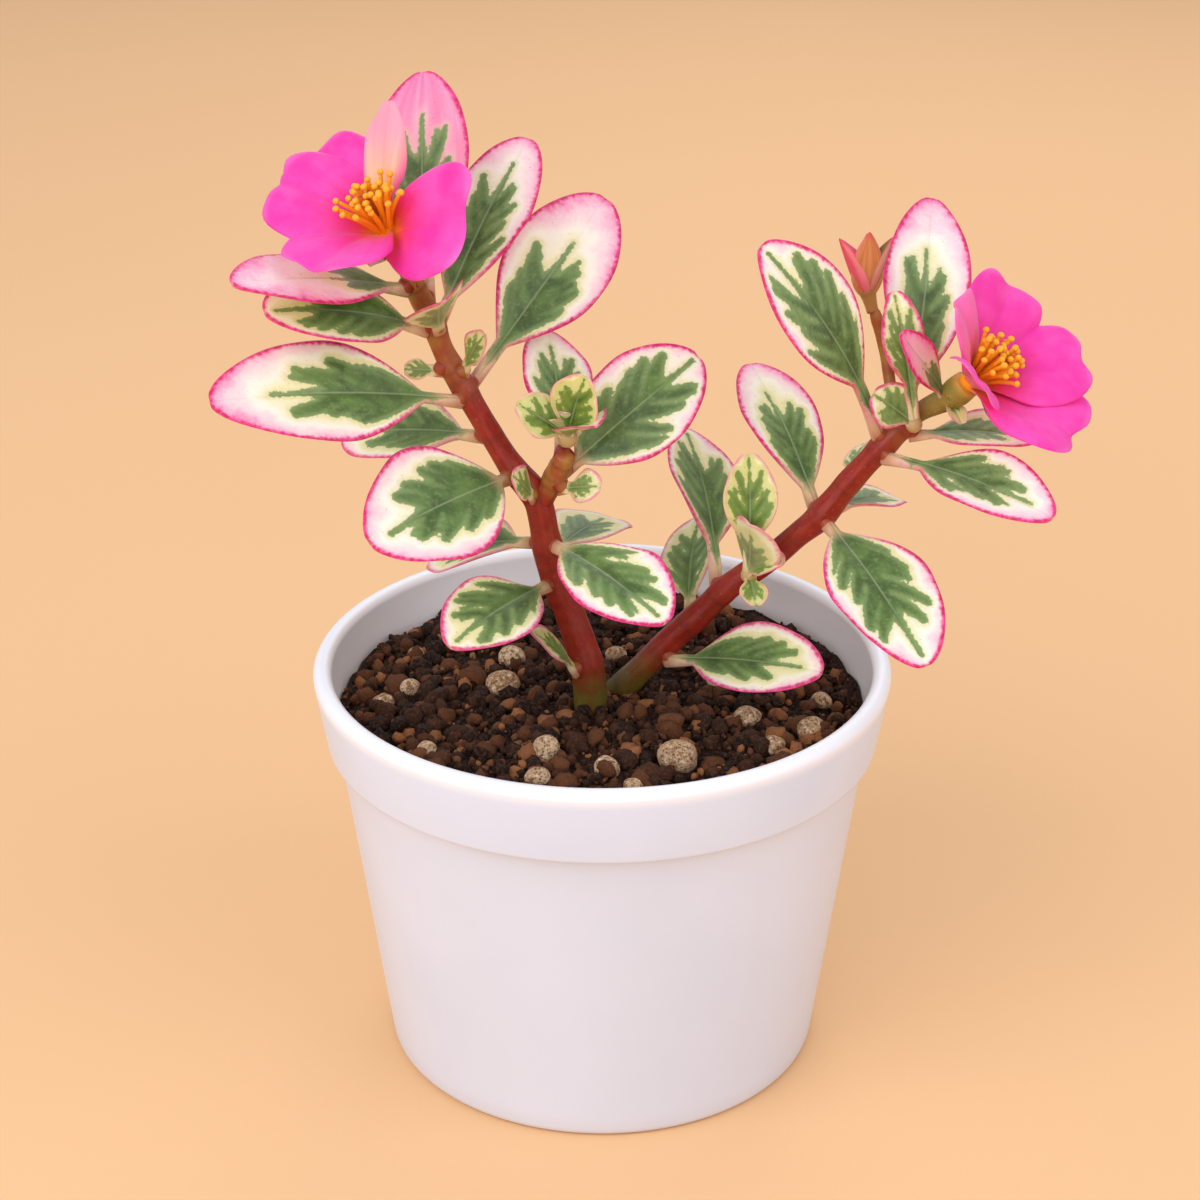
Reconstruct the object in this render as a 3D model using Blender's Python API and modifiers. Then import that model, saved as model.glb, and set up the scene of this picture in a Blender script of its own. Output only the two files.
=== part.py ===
"""A young portulaca with variegated leaves, two open flowers and a bud, in its white pot.

The origin is the middle of the pot's foot, +Z is up, and the plant shows its front to -Y.
The tables below hold millimetres and degrees, and the meshes are in metres.

A leaf or petal is a blade laid along its own +X with its upper face to +Z. Its heading turns it
about +Z from +X, its pitch lifts its tip, and its roll turns it about its own midrib.
"""

import math
import random

import bmesh
import bpy
import numpy as np
from mathutils import Euler, Matrix, Vector

MM = 0.001
GAP = 0.3
SEED = 7

# The pot: a collar with a rounded lip on a tapering body, with four drain holes round the middle.
POT_HEIGHT = 58.8
LIP_OUTER_RADIUS = 40.0
LIP_INNER_RADIUS = 37.4
COLLAR_FOOT_RADIUS = 38.4
COLLAR_FOOT_HEIGHT = 47.7
BODY_TOP_RADIUS = 37.0
FOOT_RADIUS = 30.9
FOOT_ROUNDING = 1.2
WALL = 2.5
FLOOR = 3.0
POT_STEPS = 36
DRAIN_RADIUS = 2.5
DRAIN_CIRCLE = 14.0

# The soil: a block that fills the pot, with a crumbled top.
SOIL_HEIGHT = 52.3
SOIL_CELLS = 25
SOIL_STEPS = 32
CRUMB_RISE = 0.95
STEM_HOLE_REACH = 9.0
HOLE_SIDES = 12

# Pebbles on the soil: x, y and radius.
PEBBLES = [
    (-14.0, 2.5, 2.5), (-7.5, -16.5, 2.1), (10.0, -19.0, 2.7), (28.5, -11.0, 2.0),
    (20.0, -7.0, 1.9), (-13.0, 11.5, 2.0), (-27.0, 2.0, 1.5), (-23.5, -16.5, 1.4),
    (-8.5, -24.5, 1.7), (0.5, -22.0, 1.9), (4.0, -26.5, 1.4), (23.0, -15.5, 1.6),
    (30.5, -2.0, 1.5), (16.0, 3.5, 1.4), (-30.5, -3.0, 1.7), (-27.0, 12.5, 1.4),
    (12.0, 20.0, 2.1), (-5.0, 25.0, 1.8), (22.0, 14.0, 1.7), (2.0, 12.5, 1.5),
]

LARGE_PEBBLE = 1.8
PEBBLE_SHOWING = 0.2

# Each stem's route, from its root up: x, y, z and radius.
LEFT_STEM = [
    (-1.5, -3.0, 45.0, 2.3), (-1.6, -3.0, 52.5, 2.3), (-2.2, -3.0, 59.0, 2.2), (-4.0, -2.5, 65.0, 2.1),
    (-6.2, -2.0, 71.0, 2.0), (-7.5, -2.0, 76.5, 1.95), (-8.8, -2.0, 83.0, 1.9), (-12.0, -2.0, 87.5, 1.7),
    (-14.2, -1.5, 91.0, 1.55), (-16.5, -1.0, 95.0, 1.5), (-19.0, -0.5, 99.5, 1.45),
    (-21.0, 0.0, 103.5, 1.4), (-22.3, 0.0, 107.5, 1.4), (-24.0, -0.8, 111.5, 1.35),
    (-25.0, -2.0, 114.5, 1.3),
]
SIDE_STEM = [
    (-8.6, -2.0, 82.0, 1.6), (-6.8, -2.6, 85.4, 1.5), (-5.4, -3.6, 88.5, 1.4), (-4.8, -4.2, 90.5, 1.2),
]
RIGHT_STEM = [
    (-2.5, 4.5, 46.0, 2.0), (2.6, 2.0, 52.5, 1.95), (6.2, 1.0, 56.9, 1.85), (9.7, 0.5, 61.0, 1.8),
    (13.5, 0.0, 65.0, 1.8), (17.5, -0.5, 69.5, 1.75), (22.5, -1.0, 73.5, 1.7), (26.5, -1.5, 77.5, 1.7),
    (29.5, -2.0, 80.5, 1.7), (33.0, -2.5, 85.5, 1.65), (36.0, -3.0, 89.5, 1.6), (39.0, -3.0, 93.0, 1.55),
    (41.0, -3.2, 95.0, 1.5),
]
BUD_STALK = [
    (38.8, -2.6, 93.0, 0.9), (38.2, 0.3, 98.0, 0.8), (37.3, 2.4, 103.0, 0.8), (35.7, 3.2, 108.3, 0.8),
]
STEM_SIDES = 8
STALK_SIDES = 6
ROUTE_STEPS = 2

# The knob on the stem that carries a leaf, its centre this far out of the stem's surface.
KNOB_RADIUS = 1.1
KNOB_OUT = 0.6

LEAF_THICKNESS = 1.0
SMALL_LEAF_THICKNESS = 0.8
PETAL_THICKNESS = 0.7
STALK_HALF_WIDTH = 0.8

# Large and small single leaves: name, stem, place along it from 0 to 1, heading, pitch, roll,
# length, width, bow of the midrib and cup of the blade.
LEAVES = [
    ("leaf_left_01", "left", 0.19, -145, 48, -35, 9.5, 5.0, 0.5, 0.15),
    ("leaf_left_02", "left", 0.36, -126, -3, -20, 19.5, 12.0, 1.2, 0.20),
    ("leaf_left_03", "left", 0.40, 63, -6, 5, 15.5, 11.0, 1.0, 0.15),
    ("leaf_left_04", "left", 0.43, -51, -8, 15, 21.5, 13.0, 1.2, 0.15),
    ("leaf_left_05", "left", 0.43, 145, -22, -20, 17.5, 12.0, 1.0, 0.15),
    ("leaf_left_06", "left", 0.59, -135, -5, -40, 22.5, 17.0, 1.5, 0.20),
    ("leaf_left_07", "left", 0.67, 152, -10, -30, 20.5, 12.0, 1.0, 0.15),
    ("leaf_left_08", "left", 0.75, -147, 11, -45, 34.5, 14.5, 2.0, 0.15),
    ("leaf_left_09", "left", 0.76, 52, 33, 40, 32.5, 14.5, 1.5, 0.15),
    ("leaf_left_10", "left", 0.79, -45, 55, 80, 6.0, 4.4, 0.5, 0.15),
    ("leaf_left_11", "left", 0.81, -170, 5, -50, 3.2, 3.0, 0.2, 0.15),
    ("leaf_left_12", "left", 0.885, -80, 38, 30, 8.5, 9.5, 0.8, 0.25),
    ("leaf_left_13", "left", 0.89, -145, 16, -34, 22.5, 13.0, 1.5, 0.20),
    ("leaf_left_14", "left", 0.93, 93, 53, -15, 30.0, 13.5, 1.5, 0.15),
    ("leaf_left_15", "left", 0.89, 62, 38, 15, 28.5, 11.5, 1.5, 0.15),
    ("leaf_left_16", "left", 0.98, -139, 13, -20, 25.0, 11.5, 1.0, 0.10),
    ("leaf_side_01", "left", 0.54, -125, 45, -70, 5.0, 5.0, 0.3, 0.15),
    ("leaf_side_02", "side", 0.50, -35, 15, 50, 5.0, 5.0, 0.3, 0.15),
    ("leaf_side_03", "side", 0.66, 18, 37, 55, 21.5, 14.0, 1.5, 0.15),
    ("leaf_side_04", "side", 0.90, 99, 38, 20, 17.5, 10.5, 1.0, 0.15),
    ("leaf_right_01", "right", 0.27, -34, 11, 30, 23.0, 12.0, 1.2, 0.20),
    ("leaf_right_02", "right", 0.36, 82, 28, -30, 15.5, 10.0, 1.0, 0.20),
    ("leaf_right_03", "right", 0.45, 101, 34, 25, 24.5, 12.0, 1.5, 0.20),
    ("leaf_right_04", "right", 0.72, 112, 32, 0, 23.5, 11.0, 1.5, 0.15),
    ("leaf_right_05", "right", 0.74, 43, -10, 5, 12.0, 8.0, 0.8, 0.15),
    ("leaf_right_06", "right", 0.72, -64, -22, 10, 25.5, 14.0, 1.5, 0.20),
    ("leaf_right_07", "right", 0.81, 71, 12, -35, 7.5, 4.5, 0.4, 0.15),
    ("leaf_right_08", "right", 0.93, -158, 57, -65, 31.5, 13.0, 2.5, 0.15),
    ("leaf_right_09", "right", 0.91, -45, -2, 20, 25.0, 11.0, 1.5, 0.20),
    ("leaf_right_10", "right", 1.00, 78, 44, 20, 30.5, 12.0, 1.5, 0.15),
    ("leaf_right_11", "right", 0.98, -12, 2, 10, 14.5, 9.5, 0.8, 0.15),
]
LARGE_LEAF = 17.5

# Tufts of small leaves, each grown together on a small heart: the heart's place and radius, then
# heading, pitch, roll, length, width, bow and cup of every leaf.
TUFTS = {
    "tuft_side": ((-4.6, -4.4, 92.6, 1.7), [
        (-55, 66, 115, 11.0, 7.5, 0.5, 0.20),
        (-165, 38, -50, 9.0, 6.5, 0.5, 0.20),
        (-58, 28, 8, 8.5, 8.0, 0.8, 0.25),
        (-100, 65, -10, 5.0, 3.0, 0.3, 0.20),
        (120, 60, 0, 6.0, 4.0, 0.3, 0.20),
    ]),
    "tuft_middle": ((19.8, -4.4, 72.8, 1.4), [
        (95, 80, 0, 17.0, 7.5, 0.8, 0.20),
        (-95, 68, -42, 10.0, 9.0, 0.5, 0.25),
        (-30, 30, 30, 6.5, 5.0, 0.8, 0.25),
        (-80, -30, 0, 5.5, 4.0, 0.3, 0.20),
    ]),
    "tuft_top": ((40.7, -6.3, 95.2, 1.4), [
        (133, 75, -30, 18.0, 6.0, 0.8, 0.20),
        (-175, 38, -65, 7.5, 6.5, 0.5, 0.20),
    ]),
}

# The flowers: the stem each ends, the throat, the heading and pitch of the axis, the petals and the
# sepals, both as heading, pitch, roll, length and width. A petal's heading turns about the flower's
# axis, and its pitch lifts it from open flat towards that axis. A sepal's are in the world.
FLOWERS = {
    "flower_left": {
        "stem": LEFT_STEM,
        "throat": (-27.0, -6.0, 120.4),
        "axis": (-125, 59),
        "petals": [
            (-82, 34, 0, 16.5, 14.5), (-110, 27, 0, 16.5, 14.0), (-3, 30, 0, 15.5, 13.5),
            (93, 23, 25, 16.5, 15.5), (-162, 38, -15, 17.5, 9.5),
        ],
        "sepals": [(-150, -10, 0, 4.5, 3.0), (30, -20, 0, 4.5, 3.0)],
    },
    "flower_right": {
        "stem": RIGHT_STEM,
        "throat": (47.0, -6.0, 100.4),
        "axis": (-30, 45),
        "petals": [
            (125, 40, 0, 16.0, 12.5), (56, 43, 0, 17.0, 12.5), (5, 30, 12, 17.0, 13.5),
            (-165, 42, 0, 13.2, 9.5), (-85, 36, 0, 12.0, 9.0),
        ],
        "sepals": [(-150, 53, -65, 13.5, 5.6), (-60, -30, 0, 4.5, 3.0)],
    },
}
PETAL_BOW = 1.2
PETAL_CUP = 0.18
PETAL_NOTCH = 0.10
PETAL_SHOULDER = 0.42
PETAL_ROOT = 0.5
RECEPTACLE_RADIUS = 2.2
RECEPTACLE_HEIGHT = 1.2
RECEPTACLE_RISE = 0.8
CALYX_RADII = (1.2, 1.3, 1.7, 2.0)
CALYX_ELBOW = 1.2
SEPAL_DROP = 2.0
OVARY_RADIUS = 1.2
OVARY_HEIGHT = 2.8
STAMEN_RINGS = [(4, 10, 5.2), (6, 23, 5.8), (8, 35, 6.0)]
FILAMENT_RADIUS = 0.32
ANTHER_RADIUS = 0.62

# The bud's scales: heading, pitch, length and width of each, on a common foot.
BUD_FOOT = (34.8, 3.3, 110.6)
BUD_FOOT_RADIUS = 1.8
BUD_SCALES = [(180, 62, 8.5, 4.0), (-95, 80, 9.0, 4.4), (0, 68, 8.0, 3.4), (90, 70, 7.5, 3.6)]

# Colours as red, green and blue from 0 to 1, then roughness.
WHITE_POT = (0.90, 0.90, 0.90, 0.35)
DARK_SOIL = (0.06, 0.035, 0.02, 0.95)
RED_STEM = (0.38, 0.08, 0.06, 0.45)
GREEN_LEAF = (0.16, 0.28, 0.12, 0.45)
YOUNG_LEAF = (0.24, 0.36, 0.08, 0.45)
PINK_PETAL = (0.87, 0.05, 0.45, 0.50)
ORANGE_STAMEN = (0.95, 0.32, 0.01, 0.55)
CALYX_GREEN = (0.42, 0.40, 0.10, 0.50)
BUD_RED = (0.72, 0.16, 0.14, 0.50)


def collection(name):
    """A new collection in the scene."""
    made = bpy.data.collections.new(name)
    bpy.context.scene.collection.children.link(made)
    return made


def material(name, look):
    """A plain Principled material of the given colour and roughness."""
    red, green, blue, roughness = look
    made = bpy.data.materials.new(name)
    made.use_nodes = True
    shader = made.node_tree.nodes["Principled BSDF"]
    shader.inputs["Base Color"].default_value = (red, green, blue, 1.0)
    shader.inputs["Roughness"].default_value = roughness
    shader.inputs["Metallic"].default_value = 0.0
    return made


def add_object(name, mesh, group):
    """An object for a mesh or curve, in a collection."""
    made = bpy.data.objects.new(name, mesh)
    group.objects.link(made)
    return made


def object_from(name, bm, group):
    """An object from a bmesh, which is used up."""
    mesh = bpy.data.meshes.new(name)
    bm.to_mesh(mesh)
    bm.free()
    return add_object(name, mesh, group)


def bake(obj):
    """Applies an object's modifiers, or turns a curve into a mesh with welded caps."""
    graph = bpy.context.evaluated_depsgraph_get()
    mesh = bpy.data.meshes.new_from_object(obj.evaluated_get(graph))
    if obj.type == "MESH":
        obj.modifiers.clear()
        obj.data = mesh
        return obj
    bm = bmesh.new()
    bm.from_mesh(mesh)
    bmesh.ops.remove_doubles(bm, verts=bm.verts, dist=0.005 * MM)
    bm.to_mesh(mesh)
    bm.free()
    name = obj.name
    group = obj.users_collection[0]
    place = obj.matrix_world.copy()
    bpy.data.objects.remove(obj)
    made = add_object(name, mesh, group)
    made.matrix_world = place
    return made


def keep_largest_shell(obj):
    """Drops a mesh's other shells, so a loose scrap goes and a sealed hollow is filled."""
    bm = bmesh.new()
    bm.from_mesh(obj.data)
    shells = []
    unseen = set(bm.faces)
    while unseen:
        shell = [unseen.pop()]
        for face in shell:
            for edge in face.edges:
                beside = unseen.intersection(edge.link_faces)
                unseen -= beside
                shell.extend(beside)
        shells.append(shell)
    shells.sort(key=len)
    for shell in shells[:-1]:
        bmesh.ops.delete(bm, geom=shell, context="FACES")
    bm.to_mesh(obj.data)
    bm.free()


def fuse(body, pieces):
    """Joins every object of a collection to a body, and removes the collection."""
    bpy.context.view_layer.update()
    union = body.modifiers.new("fuse", "BOOLEAN")
    union.operation = "UNION"
    union.operand_type = "COLLECTION"
    union.collection = pieces
    union.solver = "MANIFOLD"
    bake(body)
    keep_largest_shell(body)
    for piece in list(pieces.objects):
        bpy.data.objects.remove(piece)
    bpy.data.collections.remove(pieces)
    return body


def cut(body, cutter):
    """Cuts a cutter out of a body."""
    difference = body.modifiers.new("cut", "BOOLEAN")
    difference.operation = "DIFFERENCE"
    difference.object = cutter


def finish(obj, look):
    """Smooths an object's round faces, keeps its edges, and gives it its own material."""
    obj.data.materials.clear()
    obj.data.materials.append(material(obj.name, look))
    obj.data.shade_smooth()
    obj.data.set_sharp_from_angle(angle=math.radians(35))


def smooth_route(points):
    """Points on a smooth curve through a route's own points, with their radii, in millimetres."""
    knots = np.array(points)
    knots = np.vstack([2 * knots[0] - knots[1], knots, 2 * knots[-1] - knots[-2]])
    made = []
    for before, start, end, after in zip(knots, knots[1:], knots[2:], knots[3:]):
        for step in range(ROUTE_STEPS):
            t = step / ROUTE_STEPS
            made.append(0.5 * (
                2 * start + (end - before) * t
                + (2 * before - 5 * start + 4 * end - after) * t ** 2
                + (3 * start - before - 3 * end + after) * t ** 3
            ))
    made.append(knots[-2])
    return np.array(made)


def tube(name, points, sides, group):
    """A round tube through points that are x, y, z and radius."""
    curve = bpy.data.curves.new(name, "CURVE")
    curve.dimensions = "3D"
    curve.bevel_depth = MM
    curve.bevel_resolution = sides // 2 - 2
    curve.use_fill_caps = True
    spline = curve.splines.new("POLY")
    spline.points.add(len(points) - 1)
    for point, (x, y, z, radius) in zip(spline.points, points):
        point.co = (x * MM, y * MM, z * MM, 1.0)
        point.radius = radius
    return bake(add_object(name, curve, group))


def ball(name, centre, radius, detail, group):
    """A faceted ball."""
    bm = bmesh.new()
    bmesh.ops.create_icosphere(bm, subdivisions=detail, radius=radius * MM)
    made = object_from(name, bm, group)
    made.location = Vector(centre) * MM
    return made


def rod(name, start, end, radii, sides, group):
    """A straight round rod or cone between two points."""
    axis = Vector(end) - Vector(start)
    bm = bmesh.new()
    bmesh.ops.create_cone(
        bm, cap_ends=True, segments=sides, radius1=radii[0] * MM, radius2=radii[1] * MM,
        depth=axis.length * MM,
    )
    made = object_from(name, bm, group)
    made.location = (Vector(start) + Vector(end)) * 0.5 * MM
    made.rotation_euler = axis.to_track_quat("Z", "Y").to_euler()
    return made


def turn(heading, pitch, roll):
    """The rotation of a blade from its heading, pitch and roll in degrees."""
    return Euler((math.radians(roll), math.radians(-pitch), math.radians(heading)))


def leaf_half_width(u, width):
    """Half the width of a leaf at a place along it: a narrow stalk, then an egg-shaped blade."""
    along = max(0.0, (u - 0.06) / 0.94)
    blade = 0.5 * width * math.sin(math.pi * along ** 1.1) ** (0.95 - 0.4 * along)
    return max(blade, STALK_HALF_WIDTH * (1 - u) ** 0.3)


def leaf_point(u, v, length, width, bow, cup):
    """A point of a leaf's middle surface. u runs from stalk to tip, and v from edge to edge."""
    half = leaf_half_width(u, width)
    return Vector((
        length * u,
        half * v,
        4 * bow * u * (1 - u) + cup * half * v * v,
    )) * MM


def petal_point(u, v, length, width):
    """A point of a petal's middle surface, on rays that fan out from its root to a notched edge."""
    spread = math.asin(0.5 * width / (0.8 * length)) / 0.85
    reach = 1 - PETAL_SHOULDER * abs(v) ** 3.2
    notch = 1 - PETAL_NOTCH * math.exp(-((v / 0.2) ** 2))
    ray = PETAL_ROOT + (length * reach * notch - PETAL_ROOT) * u
    return Vector((
        ray * math.cos(spread * v),
        ray * math.sin(spread * v),
        4 * PETAL_BOW * u * (1 - u) + PETAL_CUP * 0.5 * width * u * v * v,
    )) * MM


def blade(name, surface, rows, columns, thickness, group):
    """A closed blade of even thickness from a function that gives its middle surface."""
    bm = bmesh.new()
    bmesh.ops.create_grid(bm, x_segments=rows, y_segments=columns, size=1.0)
    for vert in bm.verts:
        along = 0.5 * (vert.co.x + 1.0)
        vert.co = surface(1 - (1 - along) ** 1.8, vert.co.y)
    bmesh.ops.remove_doubles(bm, verts=bm.verts, dist=0.05 * MM)
    bmesh.ops.triangulate(bm, faces=bm.faces)
    bmesh.ops.recalc_face_normals(bm, faces=bm.faces)
    made = object_from(name, bm, group)
    solid = made.modifiers.new("thickness", "SOLIDIFY")
    solid.thickness = thickness * MM
    solid.offset = 0.0
    return made


def leaf(name, length, width, bow, cup, group):
    """A leaf, with more faces on a large one."""
    rows, columns, thickness = (8, 4, LEAF_THICKNESS) if length > LARGE_LEAF else (
        6, 2, SMALL_LEAF_THICKNESS
    )

    def surface(u, v):
        return leaf_point(u, v, length, width, bow, cup)

    return blade(name, surface, rows, columns, thickness, group)


def petal(name, length, width, group):
    """A petal."""

    def surface(u, v):
        return petal_point(u, v, length, width)

    return blade(name, surface, 5, 6, PETAL_THICKNESS, group)


def place_on(points, share):
    """The point, direction and radius of a stem at a share of its length."""
    route = smooth_route(points)
    steps = np.linalg.norm(np.diff(route[:, :3], axis=0), axis=1)
    shares = np.concatenate([[0.0], np.cumsum(steps)]) / steps.sum()
    x, y, z, radius = (np.interp(share, shares, route[:, axis]) for axis in range(4))
    step = min(int(np.searchsorted(shares, share, side="right")) - 1, len(steps) - 1)
    along = Vector(route[step + 1, :3] - route[step, :3]).normalized()
    return Vector((x, y, z)), along, radius


def make_pot(group, cutters):
    """The pot, turned from its profile, with its drain holes."""
    lip = 0.5 * (LIP_OUTER_RADIUS - LIP_INNER_RADIUS)
    lip_middle = LIP_INNER_RADIUS + lip
    profile = [
        (0.0, FLOOR), (FOOT_RADIUS - WALL - 1.5, FLOOR), (FOOT_RADIUS - WALL + 0.4, FLOOR + 1.5),
        (BODY_TOP_RADIUS - WALL, COLLAR_FOOT_HEIGHT - 0.5), (LIP_INNER_RADIUS - 0.8, SOIL_HEIGHT - 0.8),
    ]
    for step in range(6):
        angle = math.pi * (1 - step / 5)
        profile.append((
            lip_middle + lip * math.cos(angle), POT_HEIGHT - lip + lip * math.sin(angle),
        ))
    profile += [
        (COLLAR_FOOT_RADIUS + 0.1, COLLAR_FOOT_HEIGHT + 0.8),
        (COLLAR_FOOT_RADIUS - 0.5, COLLAR_FOOT_HEIGHT),
        (BODY_TOP_RADIUS, COLLAR_FOOT_HEIGHT - 0.3),
    ]
    for step in range(4):
        angle = math.radians(30 * step)
        profile.append((
            FOOT_RADIUS - FOOT_ROUNDING * (1 - math.cos(angle)), FOOT_ROUNDING * (1 - math.sin(angle)),
        ))
    profile.append((0.0, 0.0))
    mesh = bpy.data.meshes.new("pot")
    mesh.from_pydata(
        [(radius * MM, 0.0, height * MM) for radius, height in profile],
        [(point, point + 1) for point in range(len(profile) - 1)],
        [],
    )
    pot = add_object("pot", mesh, group)
    add_screw(pot, POT_STEPS)
    for quarter in range(4):
        angle = math.radians(45 + 90 * quarter)
        x = DRAIN_CIRCLE * math.cos(angle)
        y = DRAIN_CIRCLE * math.sin(angle)
        drain = rod(
            f"drain_{quarter + 1}", (x, y, -2.0), (x, y, FLOOR + 2.0),
            (DRAIN_RADIUS, DRAIN_RADIUS), HOLE_SIDES, cutters,
        )
        cut(pot, drain)
    bpy.context.view_layer.update()
    finish(bake(pot), WHITE_POT)


def add_screw(obj, steps):
    """Turns a profile round +Z into a closed body."""
    screw = obj.modifiers.new("turned", "SCREW")
    screw.axis = "Z"
    screw.steps = steps
    screw.render_steps = steps
    screw.use_merge_vertices = True
    screw.merge_threshold = 0.01 * MM


def make_soil(group, cutters):
    """The soil: a turned block whose top is raised into crumbs, with pebbles and two stem holes."""
    top_radius = LIP_INNER_RADIUS - 0.8 - GAP
    profile = [
        (0.0, SOIL_HEIGHT + 6.0), (top_radius + 0.4, SOIL_HEIGHT + 6.0), (top_radius, SOIL_HEIGHT - 0.6),
        (BODY_TOP_RADIUS - WALL - GAP - 0.1, COLLAR_FOOT_HEIGHT - 1.0),
        (FOOT_RADIUS - WALL + 0.4 - GAP - 0.1, FLOOR + 1.5), (FOOT_RADIUS - WALL - 1.5 - GAP, FLOOR + GAP),
        (0.0, FLOOR + GAP),
    ]
    mesh = bpy.data.meshes.new("soil_block")
    mesh.from_pydata(
        [(radius * MM, 0.0, height * MM) for radius, height in profile],
        [(point, point + 1) for point in range(len(profile) - 1)],
        [],
    )
    block = add_object("soil_block", mesh, cutters)
    add_screw(block, SOIL_STEPS)
    bm = bmesh.new()
    bmesh.ops.create_grid(bm, x_segments=SOIL_CELLS, y_segments=SOIL_CELLS, size=(top_radius + 2.0) * MM)
    shift = random.Random(SEED)
    for vert in bm.verts:
        vert.co += Vector((
            shift.uniform(-0.5, 0.5), shift.uniform(-0.5, 0.5),
            SOIL_HEIGHT + shift.uniform(-CRUMB_RISE, CRUMB_RISE),
        )) * MM
    extruded = bmesh.ops.extrude_face_region(bm, geom=bm.faces[:])["geom"]
    for item in extruded:
        if isinstance(item, bmesh.types.BMVert):
            item.co.z = -5.0 * MM
    bmesh.ops.recalc_face_normals(bm, faces=bm.faces)
    bmesh.ops.triangulate(bm, faces=bm.faces)
    soil = object_from("soil", bm, group)
    shape = soil.modifiers.new("shape", "BOOLEAN")
    shape.operation = "INTERSECT"
    shape.object = block
    shape.solver = "MANIFOLD"
    bpy.context.view_layer.update()
    bake(soil)
    pebbles = collection("pebbles")
    for number, (x, y, radius) in enumerate(PEBBLES):
        detail = 2 if radius > LARGE_PEBBLE else 1
        centre = (x, y, SOIL_HEIGHT + PEBBLE_SHOWING * radius)
        pebble = ball(f"pebble_{number + 1}", centre, radius, detail, pebbles)
        pebble.scale = (1.0, shift.uniform(0.8, 1.0), shift.uniform(0.7, 0.9))
        pebble.rotation_euler = (0.0, 0.0, shift.uniform(0.0, math.pi))
    fuse(soil, pebbles)
    for name, points in (("left", LEFT_STEM), ("right", RIGHT_STEM)):
        start = Vector(points[0][:3])
        mouth = Vector(points[1][:3])
        along = (mouth - start).normalized()
        radius = points[0][3] + GAP + 0.1
        hole = rod(
            f"hole_{name}", start - along * GAP, mouth + along * STEM_HOLE_REACH,
            (radius, radius), HOLE_SIDES, cutters,
        )
        cut(soil, hole)
    bpy.context.view_layer.update()
    finish(bake(soil), DARK_SOIL)


def make_stem(name, routes, knobs, group):
    """A stem with its branches and the knobs that carry its leaves."""
    (first, first_sides), *others = routes
    stem = tube(name, smooth_route(first), first_sides, group)
    pieces = collection(f"{name}_pieces")
    for number, (points, sides) in enumerate(others):
        tube(f"{name}_branch_{number + 1}", smooth_route(points), sides, pieces)
    for number, centre in enumerate(knobs):
        ball(f"{name}_knob_{number + 1}", centre, KNOB_RADIUS, 1, pieces)
    finish(fuse(stem, pieces), RED_STEM)


def make_leaves(group):
    """Every single leaf, and the centre of the knob under each, by stem."""
    routes = {"left": LEFT_STEM, "side": SIDE_STEM, "right": RIGHT_STEM}
    knobs = {"left": [], "side": [], "right": []}
    for name, stem, share, heading, pitch, roll, length, width, bow, cup in LEAVES:
        rotation = turn(heading, pitch, roll)
        out = rotation.to_matrix() @ Vector((1.0, 0.0, 0.0))
        start = (rotation.to_matrix() @ Vector((length, 0.0, 4 * bow))).normalized()
        middle, along, radius = place_on(routes[stem], share)
        away = (out - along * out.dot(along)).normalized()
        knob = middle + away * (radius + KNOB_OUT)
        knobs[stem].append(knob)
        made = leaf(name, length, width, bow, cup, group)
        made.location = (knob + start * (KNOB_RADIUS + GAP)) * MM
        made.rotation_euler = rotation
        finish(bake(made), GREEN_LEAF)
    return knobs


def make_tuft(name, heart, leaves, group):
    """A tuft of small leaves grown together on a small heart."""
    *centre, radius = heart
    tuft = ball(name, centre, radius, 2, group)
    pieces = collection(f"{name}_pieces")
    for number, (heading, pitch, roll, length, width, bow, cup) in enumerate(leaves):
        made = leaf(f"{name}_leaf_{number + 1}", length, width, bow, cup, pieces)
        made.location = Vector(centre) * MM
        made.rotation_euler = turn(heading, pitch, roll)
    finish(fuse(tuft, pieces), YOUNG_LEAF)


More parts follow.
